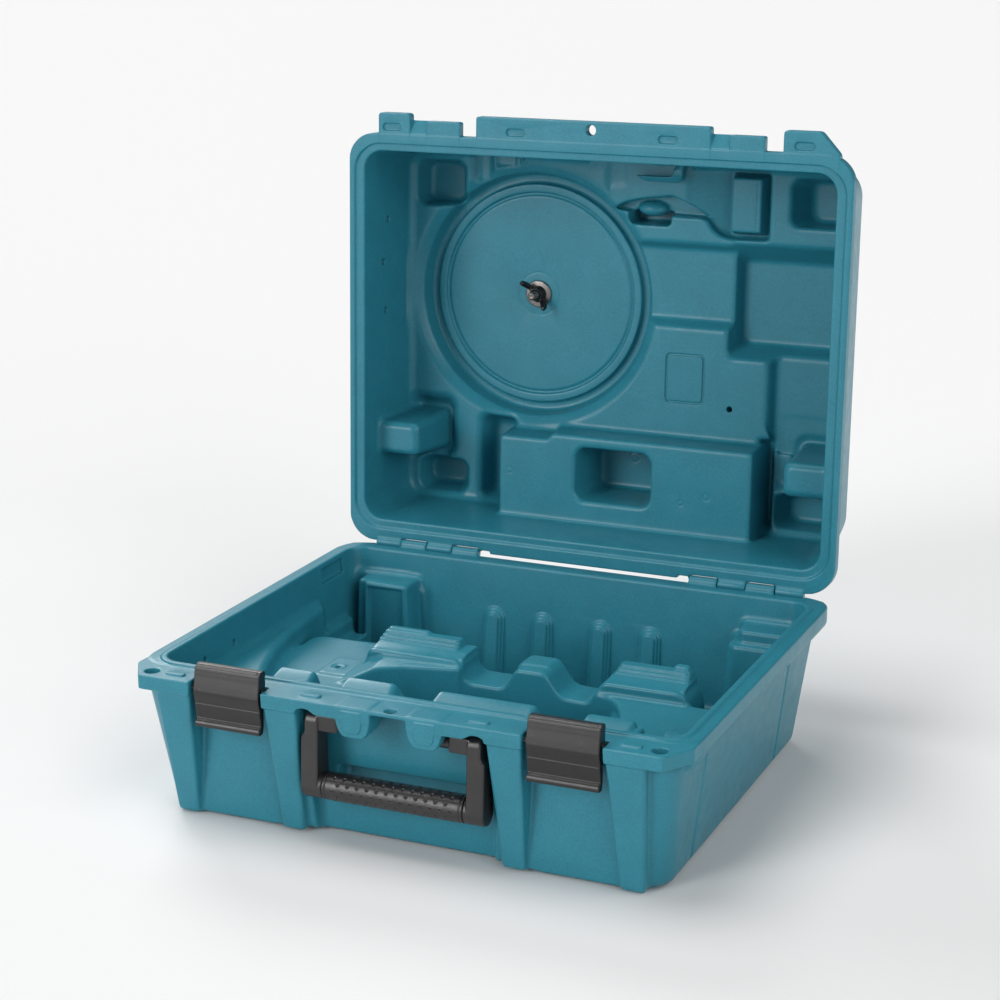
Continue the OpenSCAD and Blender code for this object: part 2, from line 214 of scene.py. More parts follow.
def prism(plane, pts, a0, a1, r=1.0, soft=0.0, s0=0.0, s1=0.0, zr=0.0):
    """A polygon in plane 'xy', 'xz' or 'yz' swept along the third axis from a0 to
    a1. soft rounds the polygon's corners (mm), s0 and s1 slope the two ends with z."""
    pts = np.asarray(pts, float)
    lo, hi = pts.min(0), pts.max(0)
    if plane == "xy":
        box = (lo[0], hi[0], lo[1], hi[1], a0, a1)
    elif plane == "xz":
        box = (lo[0], hi[0], a0, a1, lo[1], hi[1])
    else:
        box = (a0, a1, lo[0], hi[0], lo[1], hi[1])

    def flat(u, v, h):
        """Distance to the polygon, its corners softened; the grid runs past the
        edges of the part so that finer parts agree with their surroundings."""
        u, v = u.ravel(), v.ravel()
        m = int(3 * soft / h) + 2 if soft > 0 else 0
        if m:
            k = h * np.arange(1, m + 1)
            u = np.concatenate([u[0] - k[::-1], u, u[-1] + k])
            v = np.concatenate([v[0] - k[::-1], v, v[-1] + k])
        d = blur2(poly_sd(u, v, pts), soft / h)
        return d[m:-m, m:-m] if m else d

    def fn(x, y, z):
        h = max(float(abs(x.ravel()[1] - x.ravel()[0])), 1e-6)
        if plane == "xy":
            d = flat(x, y, h)[:, :, None]
            e = np.maximum(a0 - z, z - a1)
        elif plane == "xz":
            d = flat(x, z, h)[:, None, :]
            e = np.maximum(a0 + s0 * (z - zr) - y, y - a1 - s1 * (z - zr))
        else:
            d = flat(y, z, h)[None, :, :]
            e = np.maximum(a0 + s0 * (z - zr) - x, x - a1 - s1 * (z - zr))
        return smax(d, e, r)

    if s0 or s1:
        g = max(abs(s0), abs(s1)) * 60
        b = list(box)
        if plane == "xz":
            b[2] -= g; b[3] += g
        elif plane == "yz":
            b[0] -= g; b[1] += g
        box = tuple(b)
    return box, fn


def mirror(shape):
    b, fn = shape

    def flipped(x, y, z):
        d = fn((-x)[::-1], y, z)
        return d[::-1] if d.shape[0] > 1 else d

    return (-b[1], -b[0], b[2], b[3], b[4], b[5]), flipped


def net(vol):
    """Surface net of the zero level: vertices in mm and quads, wound outwards."""
    f, h = vol.f, vol.h
    n = f.shape
    ins = f < 0
    c = [ins[i:n[0] - 1 + i, j:n[1] - 1 + j, k:n[2] - 1 + k] for i in (0, 1) for j in (0, 1) for k in (0, 1)]
    some = c[0].copy(); every = c[0].copy()
    for a in c[1:]:
        some |= a
        every &= a
    act = some & ~every
    idx = np.argwhere(act)
    ids = np.full(act.shape, -1, np.int64)
    ids[act] = np.arange(len(idx))
    i, j, k = idx.T
    val = np.stack([f[i + a, j + b, k + d] for a in (0, 1) for b in (0, 1) for d in (0, 1)], 1).astype(np.float64)
    cor = np.array([(a, b, d) for a in (0, 1) for b in (0, 1) for d in (0, 1)], float)
    acc = np.zeros((len(idx), 3)); cnt = np.zeros(len(idx))
    for p in range(8):
        for q in range(p + 1, 8):
            if np.abs(cor[p] - cor[q]).sum() != 1:
                continue
            a, b = val[:, p], val[:, q]
            m = (a < 0) != (b < 0)
            t = a[m] / (a[m] - b[m])
            acc[m] += cor[p] + t[:, None] * (cor[q] - cor[p])
            cnt[m] += 1
    v = (idx + acc / cnt[:, None]) * h + vol.lo
    quads = []
    for ax in range(3):
        o = [0, 0, 0]; o[ax] = 1
        a = ins[:n[0] - o[0], :n[1] - o[1], :n[2] - o[2]]
        b = ins[o[0]:, o[1]:, o[2]:]
        e = a != b
        e1, e2 = (ax + 1) % 3, (ax + 2) % 3
        s = [slice(None)] * 3
        s[e1] = slice(1, n[e1] - 1); s[e2] = slice(1, n[e2] - 1)
        e = e[tuple(s)]
        p = np.argwhere(e)
        p[:, e1] += 1; p[:, e2] += 1
        d1 = np.zeros(3, int); d1[e1] = 1
        d2 = np.zeros(3, int); d2[e2] = 1
        q = np.stack([ids[tuple((p - w).T)] for w in (d1 + d2, d2, np.zeros(3, int), d1)], 1)
        flip = ~ins[tuple(p.T)]
        q[flip] = q[flip][:, ::-1]
        quads.append(q)
    return v, np.concatenate(quads)


def value_at(vol, pts):
    """The field at points in mm."""
    p = np.clip((np.asarray(pts) - vol.lo) / vol.h, 0, np.array(vol.f.shape) - 1.001)
    i = p.astype(int); t = p - i
    r = 0
    for a in (0, 1):
        for b in (0, 1):
            for c in (0, 1):
                w = (t[:, 0] if a else 1 - t[:, 0]) * (t[:, 1] if b else 1 - t[:, 1]) * (t[:, 2] if c else 1 - t[:, 2])
                r = r + w * vol.f[i[:, 0] + a, i[:, 1] + b, i[:, 2] + c]
    return r


def settle(vol, v, n, lo, hi, wide=3.5, flush=1.2):
    """Near the limits of a finer part its vertices go over to the coarse surface."""
    d = np.minimum(v - np.array(lo), np.array(hi) - v).min(1)
    w = np.clip((wide - d) / (wide - flush), 0, 1)
    w = (w * w * (3 - 2 * w))[:, None]
    m = w[:, 0] > 0
    if not m.any():
        return v, n
    p, g = v[m], gradient_at(vol, v[m])
    for _ in range(2):
        p = p - np.clip(value_at(vol, p), -1, 1)[:, None] * g
    g = gradient_at(vol, p)
    v, n = v.copy(), n.copy()
    v[m] = v[m] * (1 - w[m]) + (p + 0.05 * g) * w[m]      # just clear of the coarse surface
    k = n[m] * (1 - w[m]) + g * w[m]
    n[m] = k / np.maximum(np.linalg.norm(k, axis=1, keepdims=True), 1e-9)
    return v, n


def gradient_at(vol, pts):
    """Unit gradient of the field at points in mm."""
    h = vol.h
    g = (np.asarray(pts) - vol.lo) / h
    out = np.zeros_like(g)
    top = np.array(vol.f.shape) - 2.001

    def at(p):
        p = np.clip(p, 0, top)
        i = p.astype(int); t = p - i
        r = 0
        for a in (0, 1):
            for b in (0, 1):
                for c in (0, 1):
                    w = (t[:, 0] if a else 1 - t[:, 0]) * (t[:, 1] if b else 1 - t[:, 1]) * (t[:, 2] if c else 1 - t[:, 2])
                    r = r + w * vol.f[i[:, 0] + a, i[:, 1] + b, i[:, 2] + c]
        return r

    for ax in range(3):
        e = np.zeros(3); e[ax] = 0.75
        out[:, ax] = at(g + e) - at(g - e)
    m = np.linalg.norm(out, axis=1, keepdims=True)
    return out / np.maximum(m, 1e-9)


def thin(v, q, ratio):
    """Fewer triangles by Blender's collapse; returns vertices and triangles."""
    me = bpy.data.meshes.new("tmp")
    me.vertices.add(len(v)); me.vertices.foreach_set("co", v.ravel())
    me.loops.add(q.size); me.loops.foreach_set("vertex_index", q.ravel())
    me.polygons.add(len(q)); me.polygons.foreach_set("loop_start", np.arange(0, q.size, q.shape[1]))
    me.update(calc_edges=True)
    ob = bpy.data.objects.new("tmp", me)
    bpy.context.scene.collection.objects.link(ob)
    if ratio < 1:
        m = ob.modifiers.new("d", "DECIMATE"); m.ratio = ratio
    t = ob.modifiers.new("t", "TRIANGULATE")
    ev = ob.evaluated_get(bpy.context.evaluated_depsgraph_get())
    out = ev.to_mesh()
    vv = np.empty(len(out.vertices) * 3); out.vertices.foreach_get("co", vv)
    tt = np.empty(len(out.loops), np.int64); out.loops.foreach_get("vertex_index", tt)
    ev.to_mesh_clear()
    bpy.data.objects.remove(ob); bpy.data.meshes.remove(me)
    return vv.reshape(-1, 3), tt.reshape(-1, 3)


def piece(name, v, t, normals=None, place=to_row, turn=None, mats=(), smooth=True):
    """A mesh object from vertices in mm and faces."""
    used = np.unique(t)
    back = np.full(len(v), -1); back[used] = np.arange(len(used))
    v, t = v[used], back[t]
    me = bpy.data.meshes.new(name)
    w = place(v)
    me.vertices.add(len(w)); me.vertices.foreach_set("co", w.ravel())
    me.loops.add(t.size); me.loops.foreach_set("vertex_index", t.ravel())
    me.polygons.add(len(t)); me.polygons.foreach_set("loop_start", np.arange(0, t.size, t.shape[1]))
    me.update(calc_edges=True)
    me.validate()
    me.polygons.foreach_set("use_smooth", np.full(len(me.polygons), smooth))
    if normals is not None and len(me.vertices) == len(used):
        nn = normals[used]
        if turn is not None:
            nn = turn(nn)
        me.normals_split_custom_set_from_vertices([tuple(a) for a in nn])
    ob = bpy.data.objects.new(name, me)
    bpy.context.scene.collection.objects.link(ob)
    for m in mats:
        me.materials.append(m)
    return ob


# ------------------------------------------------------------ the base

def both(vol, op, shape, r=0.0):
    getattr(vol, op)(shape[0], shape[1], r)
    m = mirror(shape)
    getattr(vol, op)(m[0], m[1], r)


def rim_ring(e=0.0):
    h = 235 - e
    return [(-h + 16, 1 + e), (h - 16, 1 + e), (h, 27), (h, 372), (h - 7.5, 391), (h - 26, 398.5 - e),
            (-h + 26, 398.5 - e), (-h + 7.5, 391), (-h, 372), (-h, 27)]


def base_outside(v):
    # body
    b = dbox((-227, 227, 12, 390), -12, (-213.5, 213.5, 28.5, 376), -121, 9, 24)
    v.add(b[0], b[1])
    # panels behind the latches
    both(v, "add", rbox(100, 183, 25.8, 60, -119.5, -10, 3, 3), 2)
    # side walls: two shallow upright grooves
    for s in (-1, 1):
        for yc in (86.0, 300.0):
            def groove(x, y, z, s=s, yc=yc):
                wall = 227 + (z + 12) * 13.5 / 109
                return smax(np.abs(y - yc) - 2.2, wall - 1.1 - s * x, 0.8)
            v.cut((s * 222 - 9, s * 222 + 9, yc - 4, yc + 4, -121, -24), groove, 0.8)
    # rim: front plate, side and rear band, chamfer under it
    v.add((-236, 236, 0, 399, -12, 0), prism("xy", rim_ring(), -12, -0.15, 0.9, 1.2)[1])
    band = dbox((-235, 235, 30, 398.6), -23.5, (-235, 235, 30, 398.6), -0.15, 0.8, 22)
    v.add(band[0], lambda x, y, z: smax(band[1](x, y, z), (np.maximum(np.abs(x) - 227, y - 390) * 1.0 - (z + 23.5)) * 0.7071, 2.5), 2.0)
    # columns
    for c in ((173.5, 206, 180, 200), (79, 109, 85, 104.5)):
        def col(x, y, z, c=c):
            t = (z + 6) / -115.0
            side = np.maximum(c[0] + (c[2] - c[0]) * t - x, x - c[1] - (c[3] - c[1]) * t)
            face = 2.0 + 20.5 * t - y
            d = smax(side, face, 3.2)
            return smax(d, np.maximum(-121 - z, z + 2), 5.0)
        both(v, "add", ((c[0] - 2, c[1] + 2, 1, 42, -121, -2), col), 2.2)
    # latch bays
    def bay(x, y, z):
        t = (z + 6) / -115.0
        side = np.maximum(109.3 - 4.6 * t - x, x - 173.3 - 6.5 * t)
        return smax(smax(side, y - 25.8, 1.6), -118 - z, 1)
    both(v, "cut", ((102, 182, -4, 26, -118, 1), bay), 1.6)
    # the rim is cut back over the bays only to y = 16.5
    both(v, "add", rbox(106, 176, 16.5, 40, -12, -0.15, 1.0, 0.8), 0.0)
    # handle recess
    def recess(x, y, z):
        t = z / -121.0
        side = np.abs(x) - (78.8 + 5.5 * t) + (y - 2) * (0.04 + 0.24 * t)
        floor = y - (31 + 6 * t)
        top = z + 11.5
        return smax(smax(side, floor, 4.5), top, 2.0)
    v.cut((-88, 88, -4, 38, -121, -11.5), recess, 2.0)
    # underside of the rim between the columns
    arch = [(-78.8, -16), (-78.8, -8.8), (-74, -7), (-68.5, -7.2), (-61, -11.5), (-47, -12.2), (-15.5, -12.2), (-15.5, -3.6),
            (15.5, -3.6), (15.5, -12.2), (47, -12.2), (61, -11.5), (68.5, -7.2), (74, -7), (78.8, -8.8), (78.8, -16)]
    v.cut((-80, 80, -4, 31, -17, -3), prism("xz", arch, -6, 31.2, 1.0, 1.0)[1], 1.2)
    # finger pocket behind the grip
    p = rbox(-60, 60, 20, 50, -90, -62.5, 4, 4)
    v.cut(p[0], p[1], 2.0)
    # raised bands underneath
    for b in (rbox(-240, 240, 152, 248, -130, -119.2, 2, 6), rbox(-112, 112, -10, 420, -130, -119.2, 2, 6)):
        v.cut(b[0], b[1], 2.0)
    p = rbox(-70, 70, 159.3, 239.3, -121, -115, 1.2, 5)
    v.add(p[0], p[1], 1.5)
    # tabs that carry the handle's pivots
    tab = [(15.2, 0), (15.2, -12), (17.6, -20.5), (21.5, -24.8), (38.5, -24.8), (42.3, -20), (45.2, -10.5), (45.2, 0)]
    both(v, "add", prism("xz", tab, 1.3, 24, 1.4, 1.6), 1.2)
    inner = [(21.5, -3), (22.6, -17), (25.2, -20.6), (35.4, -20.6), (38, -17), (40.4, -3)]
    both(v, "add", prism("xz", inner, 0.25, 3, 0.35, 0.8), 0.3)
    # bead round the opening
    ring = rbox(-226, 226, 30.5, 383.5, -2, 1.8, 0.9, 23)
    v.add(ring[0], ring[1], 0.5)
    # locating bosses
    for x in (-191.6, -70.9, 70.9, 191.6):
        o = rbox(x - 8.4, x + 8.4, 9.9, 15.7, -2, 1.35, 0.6, 2.3)
        v.add(o[0], o[1], 0.3)
    # holes
    o = cone(0, 7.6, -30, 3, 4.65, 4.65, 0); v.cut(o[0], o[1], 0.7)
    for s in (-1, 1):
        o = cone(213.3 * s, 13.4, -13, 3, 6, 6, 0); v.cut(o[0], o[1], 0.9)
    # hinges: slots for the lid's knuckles, then the base's own
    for x in (-206.3, -154.3, 129.7, 182.7):
        o = rbox(x, x + 26.1, 394.1, 410, -40, 10, 0, 0.4); v.cut(o[0], o[1], 0.3)
    for x in (-180.5, -127.9, 103.4, 156.1):
        knuckle(v, x, x + 26, -10)


def knuckle(v, x0, x1, z0, z1=None):
    def fn(x, y, z):
        r = length2(y - HY, z - HZ) - 4.8
        web = np.maximum(np.maximum(HY - 4.8 - y, y - HY), (z0 - z) if z1 is None else (z - z1))
        web = np.maximum(web, (z - HZ) if z1 is None else (HZ - 1.68 - z))
        return smax(np.minimum(r, web), np.maximum(x0 - x, x - x1), 0.5)
    v.add((x0, x1, 394, 405, -12, 8), fn)


def base_nest():
    """The raised forms inside the base, as one field of material."""
    n = Vol((-226, 30, -112), (226, 385, 4), STEP, 12.0)
    A = n.add
    # trough floor, side floors
    o = rbox(-240, 240, 20, 199, -160, -75, 5, 4); A(o[0], o[1])
    o = rbox(-240, -113, 20, 349, -160, -72, 5, 6); A(o[0], o[1], 6)
    o = rbox(-240, 240, 20, 66, -160, -50, 6, 4); A(o[0], o[1], 6)
    # platforms each end of the saddle
    plat = [(-168, 92), (-104, 96), (-104, 256), (-138, 262), (-200, 262), (-196, 205), (-186, 150)]
    o = prism("xy", plat, -160, -46, 3.5, 6); A(o[0], o[1], 9)
    o = rbox(-151, -117, 171, 213, -60, -44.4, 1.0, 2.5); A(o[0], o[1], 0.8)
    o = dbox((112, 250, 150, 204), -46, (106, 256, 96, 210), -78, 8, 8); A(o[0], o[1], 10)
    # shelves that lead from the saddle down to the platforms
    left = [(-25, 196), (-25, 186), (-50, 182.5), (-72, 179), (-88, 173), (-100, 166), (-112, 160), (-124, 158), (-124, 196)]
    def slope_left(x, y, z, o=prism("xy", left, -70, -20, 0.5, 1.5)):
        top = 29.0 + (191 - y) * 0.12 + np.clip((-26 - x) * 0.02, 0, 1.4) + np.clip((-97 - x) * 0.42, 0, 14)
        return smax(o[1](x, y, z), z + top, 2.4)
    A((-124, -25, 158, 196, -70, -28), slope_left, 3.0)
    right = [(92, 196), (94, 190), (104, 188.5), (114, 183), (122, 172), (128, 158), (134, 130), (240, 130), (240, 196)]
    def slope_right(x, y, z, o=prism("xy", right, -80, -20, 0.5, 2.5)):
        return smax(o[1](x, y, z), z + 35.0 + np.clip((186 - y) * 0.20, 0, 11.0), 3.0)
    A((92, 240, 130, 196, -80, -30), slope_right, 4.0)
    # ledge along the left wall
    led = [(-245, 303), (-209, 303), (-210, 285), (-205, 232), (-193, 178), (-179, 137), (-166, 108), (-163, 88), (-245, 88)]
    o = prism("xy", led, -160, -31, 7, 5); A(o[0], o[1], 12)
    # shelf between the ledge and the rear wall
    o = rbox(-240, -207, 296, 350, -120, -58, 3, 4); A(o[0], o[1], 5)
    # saddle with a hill and two dips
    top = [(-115, -160), (-115, -33), (-113, -27), (-110, -25), (-60, -25), (-34, -25), (-29.5, -26), (-26.8, -31), (-24.6, -36.5), (-21, -41.5),
           (-16, -43.2), (8, -43.2), (14, -41), (17.6, -35), (22, -26.5), (25.5, -24.6), (47.5, -24.6), (51.8, -27.5), (56.8, -35),
           (61.5, -41.2), (67, -43.8), (86, -44.6), (91, -40.5), (95, -33), (98.5, -27), (102, -25),
           (163, -25), (169.5, -27), (173, -32), (176, -42), (179, -160)]
    o = prism("xz", top, 191.5, 229, 2.6, 2.0, 0, -0.04, -20); A(o[0], o[1], 4)
    o = prism("xz", [(17, -60), (19.4, -26.5), (24.6, -23.6), (47, -23.6), (52, -30), (56, -60)], 206, 229, 2.0, 1.2); A(o[0], o[1], 3)
    # blocks along the front wall
    for x0, x1, g0, g1 in ((-138, -106, 8, 10), (-77, -35, 7, 22), (4, 86, 7, 14), (129, 168, 8, 6), (192, 226, 6, 6)):
        zt = -9 if x0 < 190 else -13
        o = dbox((x0, x1, 20, 88), zt, (x0 - g0, x1 + g1, 20, 93), -40, 3, 3)
        A(o[0], lambda x, y, z, o=o, zt=zt: smax(o[1](x, y, z), (z - zt + (86 - y) * 0.36) * 0.94, 3.0), 5)
    o = dbox((171, 176, 60, 84), -13, (169, 180, 60, 88), -40, 2, 2); A(o[0], o[1], 3)
    # blocks on the rear wall
    frame_l = prism("xz", [(-250, -20.8), (-163, -20.8), (-153, -24), (-147.5, -33), (-144.5, -70), (-142, -112), (-250, -112)], 371.2, 420, 1.4, 1.2, 0, 0)
    A(frame_l[0], lambda x, y, z, o=frame_l: np.maximum(o[1](x, y, z), 371.4 + (z + 21) * 0.0956 - y), 2.0)
    o = dbox((-204, -151.5, 353, 420), -21.6, (-206.5, -147.5, 349.5, 420), -108, 2.2, 3.0); A(o[0], o[1], 2)
    o = dbox((-195.5, -151.5, 348, 420), -21.6, (-197, -147.5, 344, 420), -108, 2.4, 3.5); A(o[0], o[1], 1.5)
    o = dbox((-191.5, -157.0, 330, 353.0), -26.5, (-192.5, -155.0, 330, 349.2), -108, 0.8, 2.0); n.cut(o[0], o[1], 1.0)
    o = dbox((163, 250, 350, 420), -21, (159, 250, 346, 420), -108, 3, 8); A(o[0], o[1], 5)
    o = dbox((156, 250, 343, 420), -33, (151, 250, 338, 420), -108, 3, 10); A(o[0], o[1], 3)
    return n


def base_detail(s):
    """Crisp forms, set into the softened space: blocks with their steps, ribs."""
    C = s.cut
    # ridged blocks: crest, two small steps, a broad tier, fine steps to the shelf
    for x0, x1, c0, c1 in ((-112, -25.5, -110.0, -39.5), (100.5, 170.0, 105.0, 165.5)):
        for k, (z, y0) in enumerate(((-17.0, 218.2), (-19.3, 214.2), (-21.5, 210.4))):
            o = dbox((c0 - 0.9 * k, c1 + 0.9 * k, y0, 229), z, (c0 - 0.9 * k - 2.4, c1 + 0.9 * k + 4.4, y0 - 0.5, 231), z - 14, 1.0, 3.2)
            C(o[0], o[1], 0.8)
        tier = [(196.6, -26.4), (198.0, -25.2), (208, -23.0), (229, -23.0), (229, -60), (196.6, -60)]
        o = prism("yz", tier, x0 + 1.2, x1 - 1.2, 1.3, 0.3); C(o[0], o[1], 0.7)
        for k, (z, y0) in enumerate(((-26.5, 194.9), (-28.2, 192.9))):
            o = rbox(x0 + 0.6 - 0.8 * k, x1 - 0.6 + 0.6 * k, y0, 229, z - 16, z, 0.8, 3.0)
            C(o[0], o[1], 0.5)
    # raised ends of the crests
    o = dbox((-108, -70, 222, 229), -14.7, (-110, -65, 219.5, 231), -24, 1.8, 3.5); C(o[0], o[1], 1.5)
    o = dbox((151.5, 163.5, 220, 229), -12.9, (148, 168, 216, 231), -24, 2.0, 3.5); C(o[0], o[1], 2.0)
    # ribs on the rear wall, stepped like three arches one on the other
    for xc in (-74.3, -26.6, 29.5, 76.6):
        for r, off in ((10.0, 2.3), (7.9, 4.9), (5.8, 7.5)):
            def arch(x, y, z, xc=xc, r=r, off=off):
                lean = np.maximum(-48.6 - z, 0)
                d = length2(x - xc, np.maximum(z + 48.6, 0)) - r - lean * 0.012
                return smax(d, 378 - 0.0956 * (1.8 - z) - off - lean * 0.04 - y, 1.0)
            C((xc - r - 1, xc + r + 1, 358, 385, -112, -38), arch, 0.9)


def base_half():
    v = Vol((-246, -10, -132), (242, 408, 10), STEP)
    base_outside(v)
    n = base_nest()

    def space(x, y, z):
        k = (z - 1.8) / (-109.8)
        x1, y0, y1 = 220.5 - 11.5 * k, 36 + 10.5 * k, 378 - 10.5 * k
        qx, qy = np.abs(x) - (x1 - 18), np.abs(y - (y0 + y1) / 2) - ((y1 - y0) / 2 - 18)
        d = length2(np.maximum(qx, 0), np.maximum(qy, 0)) + np.minimum(np.maximum(qx, qy), 0) - 18
        return smax(d, -108 - z, 9)

    s = Vol((-226, 30, -112), (226, 385, 10), STEP)
    s.f = space(s.ax[0][:, None, None], s.ax[1][None, :, None], s.ax[2][None, None, :]).astype(np.float32)
    m = n.f.shape[2]
    s.f[:, :, :m] = smax(s.f[:, :, :m], -n.f, 6.0)
    soften(s, 0.9)
    base_detail(s)
    soften(s, 0.35)
    # small marks in the walls and the blow hole
    for y, zz in ((150, -21), (102, -21)):
        o = ball(-219.5, y, zz, 3.6, 2.8, 2.8); s.add(o[0], o[1], 0.4)
    o = cone(-140, 189, -62, -30, 2.6, 2.6, 0); s.add(o[0], o[1], 0.4)
    for r in (6.2,):
        s.cut((-150, -130, 179, 199, -46, -42), lambda x, y, z, r=r: length2(length2(x + 140, y - 189) - r, z + 44.2) - 0.5, 0.3)
    # shallow recess high in the left wall
    o = rbox(-223.4, -200, 312, 352, -17, -3.5, 1.0, 2); s.add(o[0], o[1], 1.0)
    merge_space(v, s, 0.8)
    return v


def soften(vol, sigma):
    """Rounds every edge a little, as blown plastic is."""
    n = max(int(round(2.2 * sigma / vol.h)), 1)
    k = np.exp(-0.5 * (np.arange(-n, n + 1) * vol.h / sigma) ** 2)
    k = (k / k.sum()).astype(np.float32)
    for ax in range(3):
        a = np.moveaxis(vol.f, ax, 0)
        p = np.concatenate([a[:1]] * n + [a] + [a[-1:]] * n)
        out = np.zeros_like(a)
        for i, w in enumerate(k):
            out += w * p[i:i + a.shape[0]]
        vol.f = np.moveaxis(out, 0, ax).copy()


def merge_space(v, s, r):
    """Cuts the space s out of the solid v; their grids share the step."""
    lo = np.round((s.lo - v.lo) / v.h).astype(int)
    assert np.abs(s.lo - (v.lo + lo * v.h)).max() < 1e-3
    a, b = [], []
    for i in range(3):
        first, last = max(int(lo[i]), 0), min(int(lo[i]) + s.f.shape[i], v.f.shape[i])
        if last <= first:
            return
        a.append(slice(first, last))
        b.append(slice(first - int(lo[i]), last - int(lo[i])))
    a = tuple(a)
    # away from the rim the space stops short of the outer face, so the wall stays whole
    z = np.abs(v.ax[2][a[2]])
    wall = (2.4 - np.clip(20 - z, 0, 10) * 3).astype(np.float32)[None, None, :]
    v.f[a] = smax(v.f[a], -smax(s.f[tuple(b)], v.f[a] + wall, 0.8), r)


# ------------------------------------------------------------ the lid

def lid_outside(v):
    b = dbox((-227, 227, 24, 390), 11, (-214, 214, 38, 377), 118, 12, 27)
    v.add(b[0], b[1])
    # stiffening frame and hollows on the top
    o = dbox((-150, 150, 95, 330), 119.5, (-156, 156, 89, 336), 113, 1.5, 18); v.add(o[0], o[1], 2.5)
    o = dbox((-134, 134, 111, 314), 121, (-131, 131, 114, 311), 117.6, 1.0, 10); v.cut(o[0], o[1], 1.5)
    # rim
    rim = rbox(-235, 235, 18.7, 398.6, 0.15, 12, 0.9, 26)
    v.add(rim[0], rim[1], 2.2)
    # front tabs and tongue
    for o in (prism("xy", [(-205, 0), (-173.5, 0), (-173.5, 40), (-205, 40)], 0.15, 9.5, 0.8, 1.6),
              prism("xy", [(-109, 0), (109, 0), (109, 40), (-109, 40)], 0.15, 9.5, 0.8, 1.2),
              prism("xy", [(173, 0), (205, 0), (222, 18.6), (222, 40), (173, 40)], 0.15, 9.5, 0.8, 1.6),
              prism("xy", [(-157, 6), (-124.5, 6), (-124.5, 40), (-157, 40)], 0.15, 8.6, 0.7, 0.9),
              prism("xy", [(126, 6), (157, 6), (157, 40), (126, 40)], 0.15, 8.6, 0.7, 0.9)):
        v.add(o[0], o[1], 0.6)
    for x0, x1 in ((-174, -155.5), (108, 126.8)):
        o = prism("yz", [(6.2, 6.2), (18, 0.6), (30, 0.6), (30, 8.6), (6.2, 8.6)], x0, x1, 0.5, 0.4)
        v.add(o[0], o[1], 0.4)
    # seats for the bead and the bosses
    seat = rbox(-229, 229, 27.6, 386, -3, 2.3, 0.5, 26); v.cut(seat[0], seat[1], 0.4)
    for x in (-191.6, -70.9, 70.9, 191.6):
        o = rbox(x - 8.8, x + 8.8, 9.5, 16.1, -3, 2.1, 0.5, 3.1); v.cut(o[0], o[1], 0.5)
    o = cone(0, 7.6, -10, 30, 4.65, 4.65, 0); v.cut(o[0], o[1], 0.7)
    # hinges
    for x in (-180.8, -128.2, 103.1, 155.8):
        o = rbox(x, x + 26.6, 394.1, 410, -10, 40, 0, 0.4); v.cut(o[0], o[1], 0.3)
    for x in (-101, 92):
        o = rbox(x, x + 10, 396, 410, -10, 40, 0, 0.8); v.cut(o[0], o[1], 0.3)
    for x in (-206, -154, 130, 183):
        knuckle(v, x, x + 25.5, 0, 6.6)


